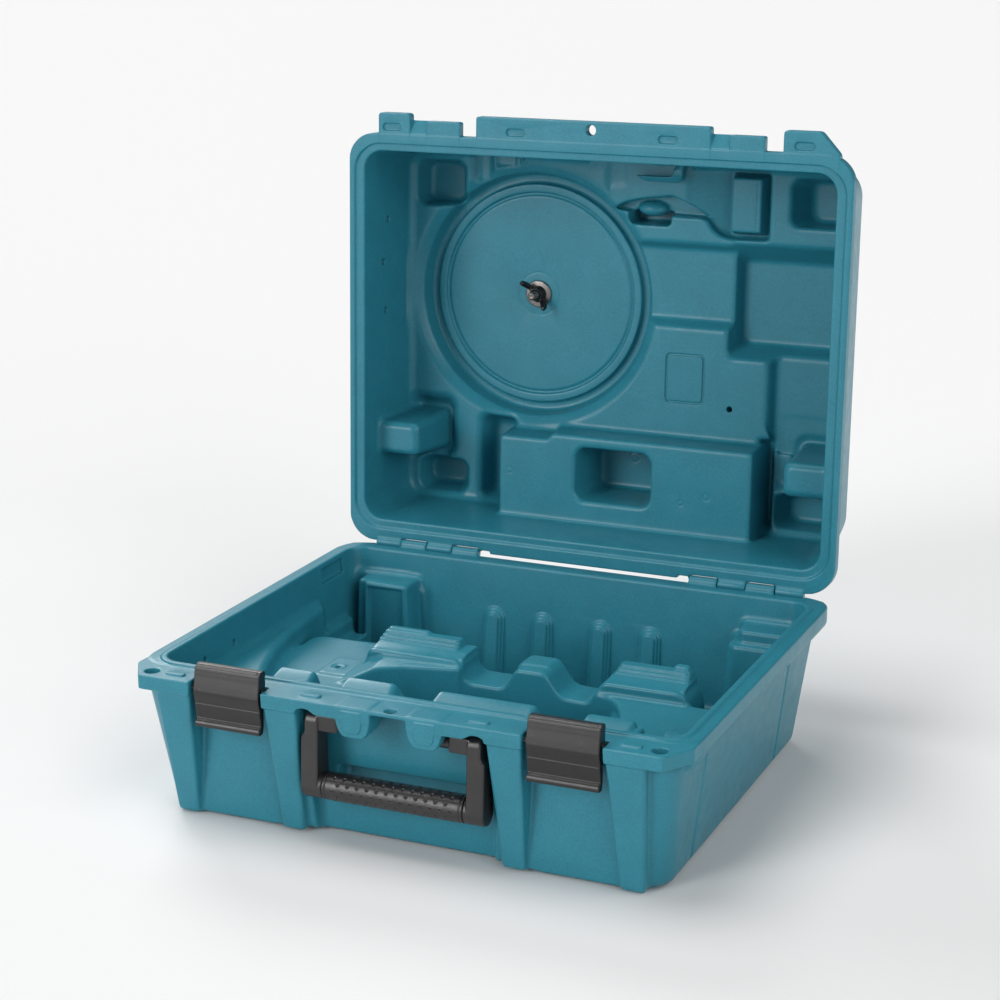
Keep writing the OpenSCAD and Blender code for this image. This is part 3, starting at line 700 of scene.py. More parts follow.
def lid_space():
    s = Vol((-226, 20, -10), (226, 385, 114), STEP)
    X, Y, Z = s.ax[0][:, None, None], s.ax[1][None, :, None], s.ax[2][None, None, :]

    k = Z / 85.0
    x1, y0, y1 = 220.5 - 7.5 * k, 34 + 7 * k, 378 - 7 * k
    qx, qy = np.abs(X) - (x1 - 18), np.abs(Y - (y0 + y1) / 2) - ((y1 - y0) / 2 - 18)
    d = length2(np.maximum(qx, 0), np.maximum(qy, 0)) + np.minimum(np.maximum(qx, qy), 0) - 18
    s.f = smax(d, Z - FZ, 7).astype(np.float32)
    A, C = s.add, s.cut
    # round recess for the blade: a rim slope, a wide shelf, a groove and a floor
    o = cone(BX, BY, 78, 91.5, 133.0, 113.5, 0.5)
    A((o[0][0], o[0][1], o[0][2], o[0][3], 78, 91.5), o[1], 1.5)
    channel = lambda x, y, z: smax(np.abs(length2(x - BX, y - BY) - 107.8 + (z - 96) * 0.10) - 5.8 + (z - 90) * 0.10, z - 106.0, 2.6)
    A((BX - 116, BX + 116, BY - 116, BY + 116, 82, 106), lambda x, y, z: np.maximum(channel(x, y, z), 80 - z), 1.0)
    o = cone(BX, BY, 78, 100.4, 105.0, 102.6, 0.8); A(o[0], o[1], 0.8)
    o = cone(BX, BY, 90, 102.0, 92.8, 92.0, 0.6); A(o[0], o[1], 0.8)
    s_ = lambda x, y, z: length2(length2(x - BX, y - BY) - 93.3, z - 102.0) - 1.8
    A((BX - 96, BX + 96, BY - 96, BY + 96, 99, 105), s_, 0.5)
    # corner pockets along the front
    for f in (1, -1):
        a, b = (155.3, 206.6, 47.4, 91.3), (171, 203.5, 52, 88)
        if f < 0:
            a, b = (-206.6, -155.3, 47.4, 91.3), (-203.5, -165, 52, 88)
        o = dbox(a, 82, b, 111, 4, 9); A(o[0], o[1], 3.0)
    # rear pockets
    for f in (1, -1):
        a, b = (150, 206, 332, 365), (163, 203, 335, 362)
        if f < 0:
            a, b = (-203, -150, 332, 366), (-200, -160, 336, 361)
        o = dbox(a, 82, b, 111, 4, 10); A(o[0], o[1], 3.0)
    # deep rectangle on the right, and the middle recess that leads to it
    o = dbox((103, 216, 106, 214), 82, (110.4, 213, 125.4, 200.7), 111, 3, 7); A(o[0], o[1], 3.0)
    o = dbox((-20, 112, 109, 189.5), 82, (-20, 108, 117, 181), 95.5, 2.5, 5); A(o[0], o[1], 3.0)
    # sunk strip beside the label's plateau
    o = dbox((141.7, 217, 200, 270), 84, (149, 214, 205, 300), 95, 3, 6); A(o[0], o[1], 4.0)
    o = dbox((146, 217, 262, 330), 84, (152, 214, 262, 326), 92, 3, 8); A(o[0], o[1], 5.0)
    # bracket under the front wall: a flat face, then a V that fades into the floor
    def bracket(x, y, z, o=prism("xy", [(12, 30), (60.5, 30), (60.5, 50), (56, 58), (48, 67), (36, 67), (24, 58), (13, 51)], 50, 120, 0.5, 1.6)):
        return smax(o[1](x, y, z), 73.5 + np.clip((y - 49.5) * 0.70, 0, 13) - z, 1.2)
    C((12, 61, 30, 68, 72, 120), bracket, 1.6)
    o = rbox(-14.6, 70, 40, 88, 80, 85.9, 0.5, 3.0); A(o[0], o[1], 0.9)
    # sunk crescent, the hump in it and the pocket below
    cres = [(-13, 84.5), (2, 77.2), (16, 73.7), (31, 71.6), (46, 69.6), (56, 72.8), (66, 78.2), (81, 88.0), (45, 87.0), (10, 85.4)]
    o = prism("xy", cres, 78, 99, 1.5, 1.2); A(o[0], o[1], 1.8)
    o = dbox((5, 46.5, 84, 96.8), 84, (7, 44.5, 85, 96.0), 113.5, 2, 4.5); A(o[0], o[1], 1.6)
    o = ball(26, 83.0, 99, 14.5, 7.0, 11.5); C(o[0], o[1], 1.5)
    # block in a recess whose floor slopes down from the left
    well = [(62, 44), (138, 44), (138, 104.5), (104, 105), (93, 102.5), (85.5, 97), (81, 89), (62, 78)]
    def sloping(x, y, z, o=prism("xy", well, 40, 130, 0.5, 2.2)):
        return smax(o[1](x, y, z), z - (87.5 + np.clip((x - 62) * 0.34, 0, 12.5)), 3.5)
    A((62, 138, 44, 105, 78, 101), sloping, 3.6)
    o = dbox((103, 130, 50.5, 98.0), 85.5, (100, 134, 46, 101), 102, 1.3, 2.0); C(o[0], o[1], 1.6)
    o = rbox(126.4, 127.2, 52, 96.5, 84, 86.1, 0.2, 0.3); A(o[0], o[1], 0.5)
    # valleys at the front edge
    o = dbox((-150, -128, 34, 70), 83, (-146, -132, 34, 66), 92, 4, 5); A(o[0], o[1], 5)
    o = dbox((-128, -104, 30, 55), 83, (-126, -106, 34, 51), 88, 2, 3); A(o[0], o[1], 2)
    for x in (-103, -97):
        o = rbox(x - 1.4, x + 1.4, 38, 56, 82, 87, 1, 1); A(o[0], o[1], 1.0)
    o = dbox((-20, 6, 40, 68), 83, (-14, 2, 40, 62), 86.5, 2, 3); A(o[0], o[1], 2)
    # groove and strip beside the long box, left; groove, right
    o = dbox((-139, -102, 284, 369), 82, (-133, -104, 294, 364), 108, 5, 8); A(o[0], o[1], 6.0)
    o = dbox((-212, -166, 272, 330), 83, (-208, -172, 280, 330), 98, 5, 9); A(o[0], o[1], 7.0)
    o = dbox((136, 152, 283, 369), 82, (139, 147, 287, 363), 101, 3, 3); A(o[0], o[1], 3.5)
    o = dbox((166, 212, 276, 330), 83, (172, 208, 282, 326), 99, 5, 9); A(o[0], o[1], 5.0)
    # step in the front wall above the V
    o = rbox(-33, 50, 31.5, 60, 5, 84, 1.5, 3); A((o[0][0], o[0][1], 31.5, 46, 5, 84), o[1], 2.0)
    o = ball(36, 38, 60, 26, 9, 26); A(o[0], o[1], 2.5)
    # long box and its pocket
    o = prism("xy", [(-105.8, 297.5), (-59, 297.5), (-53, 291.5), (140.4, 291.5), (140.4, 430), (-105.8, 430)], 55, 150, 3.0, 1.6)
    def long_box(x, y, z, o=o):
        k = (z - 55) * 0.07
        d = o[1](x, y, z)
        return d - k
    C(o[0], long_box, 4.0)
    o = dbox((-30.6, 44.6, 301, 353), 50, (-23, 41, 307.5, 348), 108, 4, 11); A(o[0], o[1], 3.2)
    # posts against the side walls
    for f in (1, -1):
        a = (177, 240, 289.5, 320) if f > 0 else (-240, -177, 289.5, 320)
        b = (174, 240, 285.5, 324.5) if f > 0 else (-240, -174, 285.5, 324.5)
        o = dbox(a, 28, b, 112, 4.5, 6.5); C(o[0], o[1], 6.0)
        a = (180.5, 240, 293, 316.5) if f > 0 else (-240, -180.5, 293, 316.5)
        o = dbox(a, 26.8, a, 34, 2.0, 5); C(o[0], o[1], 2.0)
    soften(s, 0.8)
    # label frame (left bare), vent, witness marks, side dimples
    ring = lambda x, y, z: smax(np.abs(rbox(46.5, 82, 212.7, 256.6, 60, 110, 0, 4)[1](x, y, z)) - 1.0, np.abs(z - 85) - 1.5, 0.2)
    A((45, 84, 211, 258, 83, 87), ring, 0.25)
    o = cone(107.7, 259.2, 80, 96, 2.7, 2.7, 0); A(o[0], o[1], 0.3)
    for cx, cy, r, zz in ((BX, BY, 20, 102), (10, 318, 4.6, 108), (-95, 330, 3.0, 55), (98, 336, 3.2, 55), (74, 344, 2.6, 55)):
        w = lambda x, y, z, cx=cx, cy=cy, r=r, zz=zz: length2(length2(x - cx, y - cy) - r, z - zz) - 0.55
        A((cx - r - 2, cx + r + 2, cy - r - 2, cy + r + 2, zz - 2, zz + 2), w, 0.3)
    for y, zz in ((101, 44), (140, 36), (186, 40)):
        o = ball(-219, y, zz, 4.4, 3.0, 3.0); A(o[0], o[1], 0.5)
    return s


def lid_half():
    v = Vol((-246, -10, -10), (242, 408, 124), STEP)
    lid_outside(v)
    merge_space(v, lid_space(), 0.9)
    return v


# ------------------------------------------------------------ the pieces

def finer(make, lo, hi, step):
    """The same half drawn on a finer grid between lo and hi."""
    global STEP, PART
    keep = STEP, PART
    STEP, PART = step * 1.0, (np.array(lo, float) - 4, np.array(hi, float) + 4)
    vol = make()
    STEP, PART = keep
    return vol


def skin(name, make, parts, inner, place, turn, mats, ratio, body, nodes):
    """Two pieces from one half: its outer skin and its inner skin. parts lists
    (lo, hi, step) of the regions that are drawn on a finer grid."""
    vol = make()
    v, q = net(vol)
    c = v[q].mean(1)
    keep = np.ones(len(q), bool)
    for lo, hi, _ in parts:
        keep &= ~np.all((c > np.array(lo) + 1.4) & (c < np.array(hi) - 1.4), axis=1)
    v, t = thin(v, q[keep], ratio)
    vs, ts, ns = [v], [t], [gradient_at(vol, v)]
    count = len(v)
    for k, (lo, hi, step) in enumerate(parts):
        fine = finer(make, lo, hi, step)
        v, q = net(fine)
        c = v[q].mean(1)
        near = np.all((c > np.array(lo)) & (c < np.array(hi)), axis=1)
        for lo2, hi2, _ in parts[:k]:
            near &= ~np.all((c > np.array(lo2) + 1.2) & (c < np.array(hi2) - 1.2), axis=1)
        if not near.any():
            continue
        v, t = thin(v, q[near], FINE_SHARE)
        v, nv = settle(vol, v, gradient_at(fine, v), lo, hi)
        vs.append(v); ts.append(t + count); ns.append(nv)
        count += len(v)
    v, t, nn = np.concatenate(vs), np.concatenate(ts), np.concatenate(ns)
    c = v[t].mean(1)
    m = inner(c)
    for label, part, node in (("outer", ~m, nodes[0]), ("inner", m, nodes[1])):
        ob = piece(f"{name}_{label}", v, t[part], nn, place, turn, mats)
        print(ob.name, len(ob.data.polygons), "triangles")
        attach(ob, body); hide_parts(node)


def in_base_space(c):
    x, y, z = c.T
    k = np.clip((1.8 - z) / 109.8, 0, 1.05)
    return (np.abs(x) < 223.2 - 12 * k) & (y > 33.3 + 4 * k) & (y < 380.7 - 7 * k) & (z > -114)


def in_lid_space(c):
    x, y, z = c.T
    k = np.clip(z / 85, 0, 1.4)
    return (np.abs(x) < 222.5 - 7.5 * k) & (y > 31.6 + 6 * k) & (y < 381 - 6.5 * k) & (z < 115.3) & (z > 0.4)


def lump(name, vol, mats, body, nodes, ratio=0.6, place=to_row, turn=None, shift=(0, 0, 0)):
    v, q = net(vol)
    v, t = thin(v, q, ratio)
    nn = gradient_at(vol, v)
    ob = piece(name, v + np.array(shift, float), t, nn, place, turn, mats)
    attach(ob, body)
    if nodes:
        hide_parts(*nodes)
    return ob


def latch_volume():
    h = 0.5
    v = Vol((-32, -1, -39), (33, 17, 17), h, 12.0)
    w = 29.0
    # front plate: crowned face, a crease, a flat name panel left bare, and the finger lip
    face = [(5.5, 9.6), (6.6, 13.2), (5.4, 13.3), (4.7, 12.6), (4.3, 10.8), (3.3, 5.0), (2.1, -1.0), (1.1, -6.4), (1.3, -8.4), (2.0, -11.5),
            (2.9, -15.0), (3.2, -16.6), (2.7, -17.4), (3.1, -18.4), (3.9, -23.5), (4.7, -29.2), (3.5, -30.2), (2.3, -31.2), (1.5, -32.9),
            (1.4, -34.6), (2.2, -36.0), (4.6, -36.4), (7.2, -36.2), (8.4, -33.0), (8.6, -28.0), (8.0, -19.0), (6.2, -12.5), (5.2, -6.0), (4.9, 0), (5.3, 6.0)]
    o = prism("yz", face, -w, w, 0.7, 0.35); v.add(o[0], o[1])
    # top and hook
    o = prism("yz", [(7.4, 14.6), (12.4, 14.6), (13.6, 13.9), (14, 12.8), (13.9, 9.3), (12.2, 9.2), (11.4, 11.2), (6.2, 11.2)], -w, w, 0.6, 0.35); v.add(o[0], o[1], 0.3)
    # barrel round the pin, ribs behind the plate
    o = (-w, w, 4, 14, -11, -1), lambda x, y, z: smax(length2(y - 9, z + 6) - 4.6, np.abs(x) - w, 0.6); v.add(o[0], o[1], 1.0)
    o = prism("yz", [(3, -2), (8, -2), (8, -10), (4.4, -10)], -w, w, 0.5, 0.3); v.add(o[0], o[1], 0.6)
    for x in (-14, 0, 14):
        o = prism("yz", [(4, 0), (7, -0.4), (8.4, -3), (8.8, -11), (9.2, -30), (7, -35), (6, -35), (7, -29), (6, -20), (4.8, -10), (4.6, 0)], x - 1, x + 1, 0.4, 0.3); v.add(o[0], o[1], 0.5)
    # cheeks
    o = prism("yz", [(5.5, 13.0), (7.0, 14.4), (12.4, 14.5), (13.6, 13.9), (14, 12.8), (13.7, -8), (12, -11.6), (9.9, -17), (9.8, -31), (7.6, -35.6), (4.4, -36), (2.8, -34), (5.6, -28), (4.6, -18), (1.8, -8), (3.9, 6)], w - 3, w, 0.8, 0.4)
    v.add(o[0], o[1], 0.5)
    o = prism("yz", [(3.0, -1.2), (12.8, -1.2), (13.7, -8), (12, -11.6), (9.9, -17), (9.8, -31), (7.6, -35.6), (4.4, -36), (2.8, -34), (5.0, -28), (4.2, -18), (2.4, -8)], -w, -w + 3, 0.8, 0.4)
    v.add(o[0], o[1], 0.5)
    # small spur at the right cheek
    o = prism("xz", [(w - 1, 0.6), (w + 1.5, -0.4), (w + 1.7, -2.2), (w - 1, -6.5)], 6.5, 13.2, 0.4, 0.2); v.add(o[0], o[1], 0.4)
    o = (-40, 40, 6, 12, -9, -3), lambda x, y, z: length2(y - 9, z + 6) - 2.05 + 0 * x; v.cut(o[0], o[1])
    return v


def handle_volume():
    h = 0.7
    v = Vol((-82, 1, -88), (82, 30, -8), h, 12.0)
    py, pz, gy, gz = 15.0, -20.0, 15.0, -72.7

    def side(y, z):
        """Two round ends joined by their tangents."""
        k = np.clip((pz - z) / (pz - gz), 0, 1)
        return length2(y - py, z - (pz + (gz - pz) * k)) - (8.2 + (10.8 - 8.2) * k)

    for s in (-1, 1):
        def arm(x, y, z, s=s):
            a = s * x
            out = 74.4 + np.clip((-27.5 - z) / 4.5, 0, 1) * 2.9
            d = smax(side(y, z), np.maximum(62.6 - a, a - out), 1.6)
            return d
        v.add((s * 70 - 9, s * 70 + 9, 3, 27, -85, -11), arm)
        # collar against the grip
        def collar(x, y, z, s=s):
            a = s * x
            return smax(length2(y - gy, z - gz) - 10.7, np.maximum(59.9 - a, a - 66), 0.7)
        v.add((s * 63 - 4, s * 63 + 4, 3, 27, -85, -61), collar, 0.3)
        # square shoulder and round pivot
        def bar(x, y, z, s=s):
            a = s * x
            d = smax(np.maximum(np.abs(y - py) - 6.3, np.abs(z - pz) - 6.3), np.maximum(46.4 - a, a - 66), 2.6)
            e = smax(length2(y - py, z - pz) - 5.45, np.maximum(22.2 - a, a - 60), 0.6)
            return smin(d, e, 0.4)
        v.add((s * 44 - 23, s * 44 + 23, 8, 22, -27, -13), bar, 0.6)
        # rib and hollow on the shoulder's underside
        o = rbox(s * 56 - 6.5, s * 56 + 6.5, 11.5, 18.5, -28, -25.2, 0.5, 1.0); v.cut(o[0], o[1], 0.4)
    # rod through the grip
    o = (-63, 63, 8, 22, -80, -65), lambda x, y, z: np.maximum(length2(y - gy, z - gz) - 6.5, np.abs(x) - 63); v.add(o[0], o[1])
    return v


def grip_mesh():
    """Sleeve with staggered dimples and a groove at each end."""
    na = 264
    nx = 560
    xs = np.linspace(-59.6, 59.6, nx)
    # closing rings at both ends
    prof_x = np.concatenate([[-59.6, -59.6], xs, [59.6, 59.6]])
    e = 59.6 - np.abs(xs)
    r = 11.0 - 0.7 * np.clip(1 - e / 0.8, 0, 1) ** 2
    r = r - 0.55 * np.exp(-((e - 2.6) / 0.45) ** 2)
    prof_r = np.concatenate([[6.6, 9.8], r, [9.8, 6.6]])
    a = np.arange(na) * 2 * math.pi / na
    X = np.repeat(prof_x[:, None], na, 1)
    R = np.repeat(prof_r[:, None], na, 1)
    A = np.repeat(a[None, :], len(prof_x), 0)
    pitch = 8.3
    rows = 12
    k = A / (2 * math.pi) * rows
    row = np.round(k)
    da = (k - row) * (2 * math.pi / rows) * 11.0
    off = (row % 2) * 0.5
    u = X / pitch - off
    du = (u - np.round(u)) * pitch
    rad = np.sqrt(da * da + du * du)
    inside = (np.abs(np.round(u) * pitch + off * pitch) < 52.5)
    dent = np.clip(1 - (rad / 1.3) ** 2, 0, 1) ** 0.8 * 0.95 - np.exp(-((rad - 1.55) / 0.28) ** 2) * 0.10
    R = R - np.where(inside & (rad < 2.4), dent, 0)
    P = np.stack([X, 15.0 + R * np.cos(A), -72.7 + R * np.sin(A)], -1)
    n0, n1 = P.shape[:2]
    i, j = np.meshgrid(np.arange(n0 - 1), np.arange(n1), indexing="ij")
    q = np.stack([i * n1 + j, (i + 1) * n1 + j, (i + 1) * n1 + (j + 1) % n1, i * n1 + (j + 1) % n1], -1).reshape(-1, 4)
    return P.reshape(-1, 3), q[:, ::-1]


def wing_nut_volume():
    h = 0.3
    v = Vol((-21, -21, 0), (21, 21, 17.5), h, 8.0)
    o = cone(0, 0, 0.1, 7.4, 8.0, 5.9, 0.5); v.add(o[0], o[1])
    o = cone(0, 0, 6.2, 8.6, 4.9, 4.9, 0.3); v.cut(o[0], o[1], 0.3)

    def wings(x, y, z):
        a, b = (x + y) * 0.70711, (x - y) * 0.70711
        pts = [(3.5, 0.8), (9.5, 1.6), (14.2, 4.6), (17.0, 9.4), (17.6, 13.6), (16.4, 15.6), (14.0, 15.0), (11.2, 11.0), (8.2, 7.4), (3.5, 6.4)]
        d = np.full(np.broadcast(x, y, z).shape, 1e9, float)
        ins = np.zeros(d.shape, bool)
        ra = np.abs(a) + 0 * z
        zz = z + 0 * ra
        for (ax, ay), (bx, by) in zip(pts, pts[1:] + pts[:1]):
            ex, ey = bx - ax, by - ay
            t = np.clip(((ra - ax) * ex + (zz - ay) * ey) / (ex * ex + ey * ey), 0, 1)
            d = np.minimum(d, (ra - ax - t * ex) ** 2 + (zz - ay - t * ey) ** 2)
            c = ((ay <= zz) & (by > zz)) | ((by <= zz) & (ay > zz))
            if ay != by:
                ins ^= c & (ra < ax + (zz - ay) * ex / ey)
        d = np.where(ins, -np.sqrt(d), np.sqrt(d))
        return smax(d, np.abs(b) - 1.9, 1.1)

    v.add((-19, 19, -19, 19, 0.5, 16.5), wings, 1.0)
    o = cone(0, 0, -1, 18, 4.1, 4.1, 0); v.cut(o[0], o[1])
    return v


def grid_piece(name, P, q, place, mats, body, nodes, angle=0.7):
    ob = piece(name, P, q, None, place, None, mats)
    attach(ob, body)
    if nodes:
        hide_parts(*nodes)
    return ob


def lathe(prof, n, helix=None):
    """Profile [(r, z)] turned about z; helix(r, z, a) may change the radius."""
    prof = np.asarray(prof, float)
    a = np.arange(n) * 2 * math.pi / n
    R = np.repeat(prof[:, :1], n, 1); Z = np.repeat(prof[:, 1:], n, 1); A = np.repeat(a[None], len(prof), 0)
    if helix is not None:
        R = helix(R, Z, A)
    P = np.stack([R * np.cos(A), R * np.sin(A), Z], -1).reshape(-1, 3)
    i, j = np.meshgrid(np.arange(len(prof) - 1), np.arange(n), indexing="ij")
    q = np.stack([i * n + j, i * n + (j + 1) % n, (i + 1) * n + (j + 1) % n, (i + 1) * n + j], -1).reshape(-1, 4)
    return P, q


# ------------------------------------------------------------ materials

def material(name, color, dark, light, rough, bump, grain=1400.0, blotch=55.0, metal=0.0, coat=0.0, spec=0.5, streak=None):
    """Plastic or metal with fine grain, slow blotches in tone and gloss, and a bump."""
    m = bpy.data.materials.new(name)
    m.use_nodes = True
    nt = m.node_tree
    nt.nodes.clear()
    N, L = nt.nodes.new, nt.links.new
    out = N("ShaderNodeOutputMaterial")
    b = N("ShaderNodeBsdfPrincipled")
    L(b.outputs[0], out.inputs[0])
    b.inputs["Metallic"].default_value = metal
    b.inputs["Specular IOR Level"].default_value = spec
    if coat:
        b.inputs["Coat Weight"].default_value = coat
        b.inputs["Coat Roughness"].default_value = 0.35
    tc = N("ShaderNodeTexCoord")

    def noise(scale, detail=3.0, rough_=0.55, vec=None):
        n = N("ShaderNodeTexNoise")
        n.inputs["Scale"].default_value = scale
        n.inputs["Detail"].default_value = detail
        n.inputs["Roughness"].default_value = rough_
        L(vec or tc.outputs["Object"], n.inputs["Vector"])
        return n.outputs["Fac"]

    def ramp(fac, stops):
        r = N("ShaderNodeValToRGB")
        e = r.color_ramp.elements
        e[0].position, e[0].color = stops[0][0], stops[0][1]
        e[1].position, e[1].color = stops[-1][0], stops[-1][1]
        for p, c in stops[1:-1]:
            k = e.new(p); k.color = c
        L(fac, r.inputs[0])
        return r.outputs[0]

    rgb = lambda c: (c[0], c[1], c[2], 1.0)
    slow = noise(blotch, 4.0, 0.6)
    tone = ramp(slow, [(0.30, rgb(dark)), (0.5, rgb(color)), (0.72, rgb(light))])
    fine = noise(grain * 0.55, 2.0, 0.6)
    speck = ramp(fine, [(0.35, (0.90, 0.90, 0.90, 1)), (0.65, (1.08, 1.08, 1.08, 1))])
    mul = N("ShaderNodeMix"); mul.data_type = "RGBA"; mul.blend_type = "MULTIPLY"
    mul.inputs[0].default_value = 1.0
    L(tone, mul.inputs[6]); L(speck, mul.inputs[7])
    L(mul.outputs[2], b.inputs["Base Color"])
    rr = N("ShaderNodeMapRange")
    rr.inputs["From Min"].default_value = 0.3; rr.inputs["From Max"].default_value = 0.7
    rr.inputs["To Min"].default_value = rough[0]; rr.inputs["To Max"].default_value = rough[1]
    L(noise(blotch * 2.3, 3.0, 0.6), rr.inputs["Value"])
    L(rr.outputs[0], b.inputs["Roughness"])
    g = noise(grain, 2.0, 0.5)
    wave = noise(blotch * 0.7, 2.0, 0.5)
    mix = N("ShaderNodeMath"); mix.operation = "MULTIPLY_ADD"
    L(wave, mix.inputs[0]); mix.inputs[1].default_value = bump[2]; L(g, mix.inputs[2])
    bp = N("ShaderNodeBump")
    bp.inputs["Strength"].default_value = bump[0]
    bp.inputs["Distance"].default_value = bump[1]
    L(mix.outputs[0], bp.inputs["Height"])
    L(bp.outputs[0], b.inputs["Normal"])
    return m


TEAL = (0.026, 0.212, 0.286)
teal = material("moulded_teal", TEAL, (0.0245, 0.201, 0.271), (0.0285, 0.223, 0.301), (0.29, 0.39), (0.05, 0.0003, 0.3), 1400.0, 38.0, spec=0.34)
teal_in = material("moulded_teal_inside", TEAL, (0.0245, 0.200, 0.270), (0.0285, 0.224, 0.302), (0.28, 0.38), (0.045, 0.0003, 0.3), 1200.0, 38.0, spec=0.34)
grip_m = material("grip_plastic", (0.018, 0.0155, 0.016), (0.015, 0.013, 0.0135), (0.022, 0.019, 0.0195), (0.28, 0.38), (0.16, 0.0003, 1.0), 2600.0, 70.0, spec=0.6)
latch_m = material("latch_plastic", (0.0085, 0.0072, 0.0075), (0.0068, 0.0058, 0.006), (0.011, 0.0092, 0.0096), (0.27, 0.36), (0.14, 0.00025, 1.0), 2600.0, 70.0, spec=0.55)
black_m = material("black_plastic", (0.006, 0.006, 0.007), (0.004, 0.004, 0.005), (0.010, 0.010, 0.011), (0.38, 0.5), (0.2, 0.0002, 1.0), 3000.0, 120.0)
steel_m = material("zinc_steel", (0.22, 0.205, 0.20), (0.17, 0.158, 0.155), (0.28, 0.262, 0.255), (0.32, 0.48), (0.25, 0.00015, 1.0), 4200.0, 180.0, metal=1.0)
stud_m = material("stud_steel", (0.20, 0.175, 0.175), (0.14, 0.125, 0.125), (0.27, 0.24, 0.24), (0.34, 0.5), (0.25, 0.00015, 1.0), 4200.0, 220.0, metal=0.85)

# ------------------------------------------------------------ build

share = 0.235
FINE_SHARE = 0.15
BASE_PARTS = [
    ((-246, -10, -26), (246, 38, 10), 0.6),           # front rim, tabs and bosses
    ((-117, 186, -36), (-20, 233, -10), 0.5),        # ridged blocks
    ((96, 186, -36), (175, 233, -8), 0.5),
    ((-170, 150, -52), (185, 236, -8), 0.7),         # saddle
    ((-145, 56, -40), (246, 98, -6), 0.8),           # blocks behind the front wall
    ((-100, 350, -80), (100, 384, -36), 0.7),        # ribs on the rear wall
    ((-222, 300, -80), (-140, 384, -2), 0.8),        # rear left block
]
LID_PARTS = [
    ((-246, -10, -10), (246, 36, 13), 0.6),           # front rim with its seats
    ((-25, 38, 50), (160, 110, 114), 0.7),           # bracket, scoop and block
    ((38, 205, 81), (120, 266, 96), 0.5),            # name frame and blow hole
    ((-214, 43, 78), (39, 296, 106), 0.9),           # round recess
]
skin("base_shell", base_half, BASE_PARTS, in_base_space, to_row, None, [teal], share, "base", ("base_outer_wall", "base_inner_wall"))
skin("lid_shell", lid_half, LID_PARTS, in_lid_space, lid_row, lid_turn, [teal_in], share, "lid", ("lid_outer_wall", "lid_inner_wall"))

lv = latch_volume()
for side_name, x in (("left", -140.0), ("right", 142.0)):
    lump(f"latch_{side_name}_shell", lv, [latch_m], "latch_l" if x < 0 else "latch_r", (f"latch_{side_name}",), 0.5, shift=(x, 0, 0))

lump("handle_bail", handle_volume(), [grip_m], "handle", ("handle_frame",), 0.5)
P, q = grip_mesh()
grid_piece("handle_sleeve", P, q, to_row, [grip_m], "handle", ("handle_grip",))

# wing nut, drawn from the washer's face towards the lid's mouth
wv = wing_nut_volume()
v, q = net(wv)
v, t = thin(v, q, 0.6)
nn = gradient_at(wv, v)
flip = lambda p: np.stack([BX + p[:, 0], BY + p[:, 1], 99.55 - p[:, 2]], 1)
ob = piece("wing_nut_body", flip(v), t[:, ::-1], nn * np.array([1, 1, -1.0]), lid_row, lid_turn, [black_m])
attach(ob, "nut"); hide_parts("wing_nut")

zs = np.linspace(0, 16.0, 220)
body = [(3.95, -7.0), (3.95, -0.02)] + [(4.0, z) for z in zs] + [(3.3, 16.7), (3.0, 17.3), (1.6, 17.4), (1.2, 17.15), (0.02, 17.1)]
def thread(R, Z, A):
    ph = (Z / 1.25 - A / (2 * math.pi)) % 1.0
    dent = 0.34 * np.abs(2 * ph - 1)
    return R - np.where((Z >= 0) & (Z <= 16.0), dent, 0)
P, q = lathe(body, 96, thread)
P = np.stack([BX + P[:, 0], BY + P[:, 1], 99.5 - P[:, 2]], 1)
ob = piece("stud_thread", P, q[:, ::-1], None, lid_row, None, [stud_m])
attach(ob, "lid"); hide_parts("blade_stud")

P, q = lathe([(4.06, 0.05), (4.06, 2.05), (4.5, 2.2), (6.0, 2.2), (11.6, 2.15), (12.3, 1.9), (12.5, 1.4), (12.5, 0.5), (12.2, 0.1), (11.6, 0.0), (4.5, 0.0), (4.06, 0.05)], 128)
P = np.stack([BX + P[:, 0], BY + P[:, 1], 101.8 - P[:, 2]], 1)
ob = piece("washer_disc", P, q, None, lid_row, None, [steel_m])
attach(ob, "washer"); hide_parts("blade_washer")

for n in ("hinge_pin_left", "hinge_pin_right", "latch_pin_left", "latch_pin_right"):
    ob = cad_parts[n]
    ob.data.materials.clear()
    ob.data.materials.append(steel_m)

# ------------------------------------------------------------ camera, floor, light

def turn_matrix(rv):
    a = Vector(rv)
    return Matrix.Rotation(a.length, 3, a.normalized())


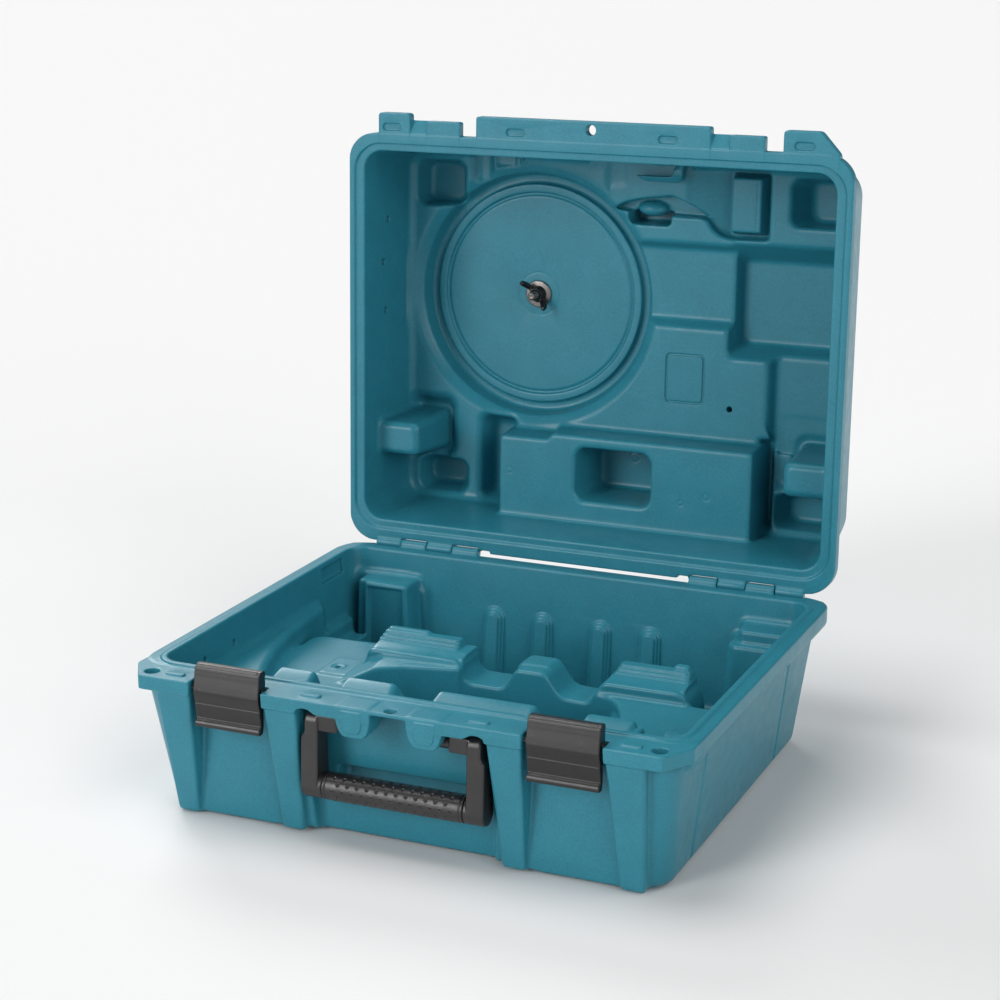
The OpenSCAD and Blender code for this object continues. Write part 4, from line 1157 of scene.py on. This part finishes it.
R = turn_matrix((1.81439805, 0.376909853, -0.288168024))
cam_data = bpy.data.cameras.new("view")
cam_data.lens = 81.361
cam_data.sensor_width = 36.0
cam_data.clip_end = 50.0
cam = bpy.data.objects.new("view", cam_data)
rows = [R[0], -R[1], -R[2]]
m = Matrix.Identity(4)
for i in range(3):
    for j in range(3):
        m[j][i] = rows[i][j]
m.translation = Vector((0.715007, -1.624356, 0.733228))
cam.matrix_world = m
bpy.context.scene.collection.objects.link(cam)
bpy.context.scene.camera = cam

me = bpy.data.meshes.new("floor")
me.from_pydata([(-30, -30, -0.0004), (30, -30, -0.0004), (30, 30, -0.0004), (-30, 30, -0.0004)], [], [(0, 1, 2, 3)])
floor = bpy.data.objects.new("floor", me)
bpy.context.scene.collection.objects.link(floor)
fm = bpy.data.materials.new("floor_white")
fm.use_nodes = True
fb = fm.node_tree.nodes["Principled BSDF"]
fb.inputs["Base Color"].default_value = (0.84, 0.84, 0.84, 1)
fb.inputs["Roughness"].default_value = 0.9
fb.inputs["Specular IOR Level"].default_value = 0.1
me.materials.append(fm)

w = bpy.data.worlds.new("studio")
w.use_nodes = True
w.node_tree.nodes["Background"].inputs[0].default_value = (1, 1, 1, 1)
w.node_tree.nodes["Background"].inputs[1].default_value = 0.10
bpy.context.scene.world = w


def soft_light(name, toward, spread, strength):
    """A broad, distant studio light; toward points from the object to the light."""
    d = bpy.data.lights.new(name, "SUN")
    d.angle = math.radians(spread)
    d.energy = strength
    o = bpy.data.objects.new(name, d)
    o.location = Vector(toward) * 2.0
    o.rotation_mode = "QUATERNION"
    o.rotation_quaternion = (-Vector(toward)).to_track_quat("-Z", "Y")
    bpy.context.scene.collection.objects.link(o)
    return o


soft_light("overhead", (-0.40, 0.05, 1.0), 42, 1.45)
soft_light("front_high", (-0.55, -1.0, 0.55), 26, 0.95)
soft_light("front_low", (-0.50, -1.0, 0.20), 24, 0.60)
soft_light("fill", (1.0, -0.65, 0.45), 36, 0.85)
soft_light("behind", (-0.85, 0.95, 0.85), 24, 1.15)
soft_light("right", (0.75, -0.10, 1.0), 34, 0.50)
bpy.context.scene.view_settings.view_transform = "Standard"
bpy.context.scene.view_settings.look = "None"
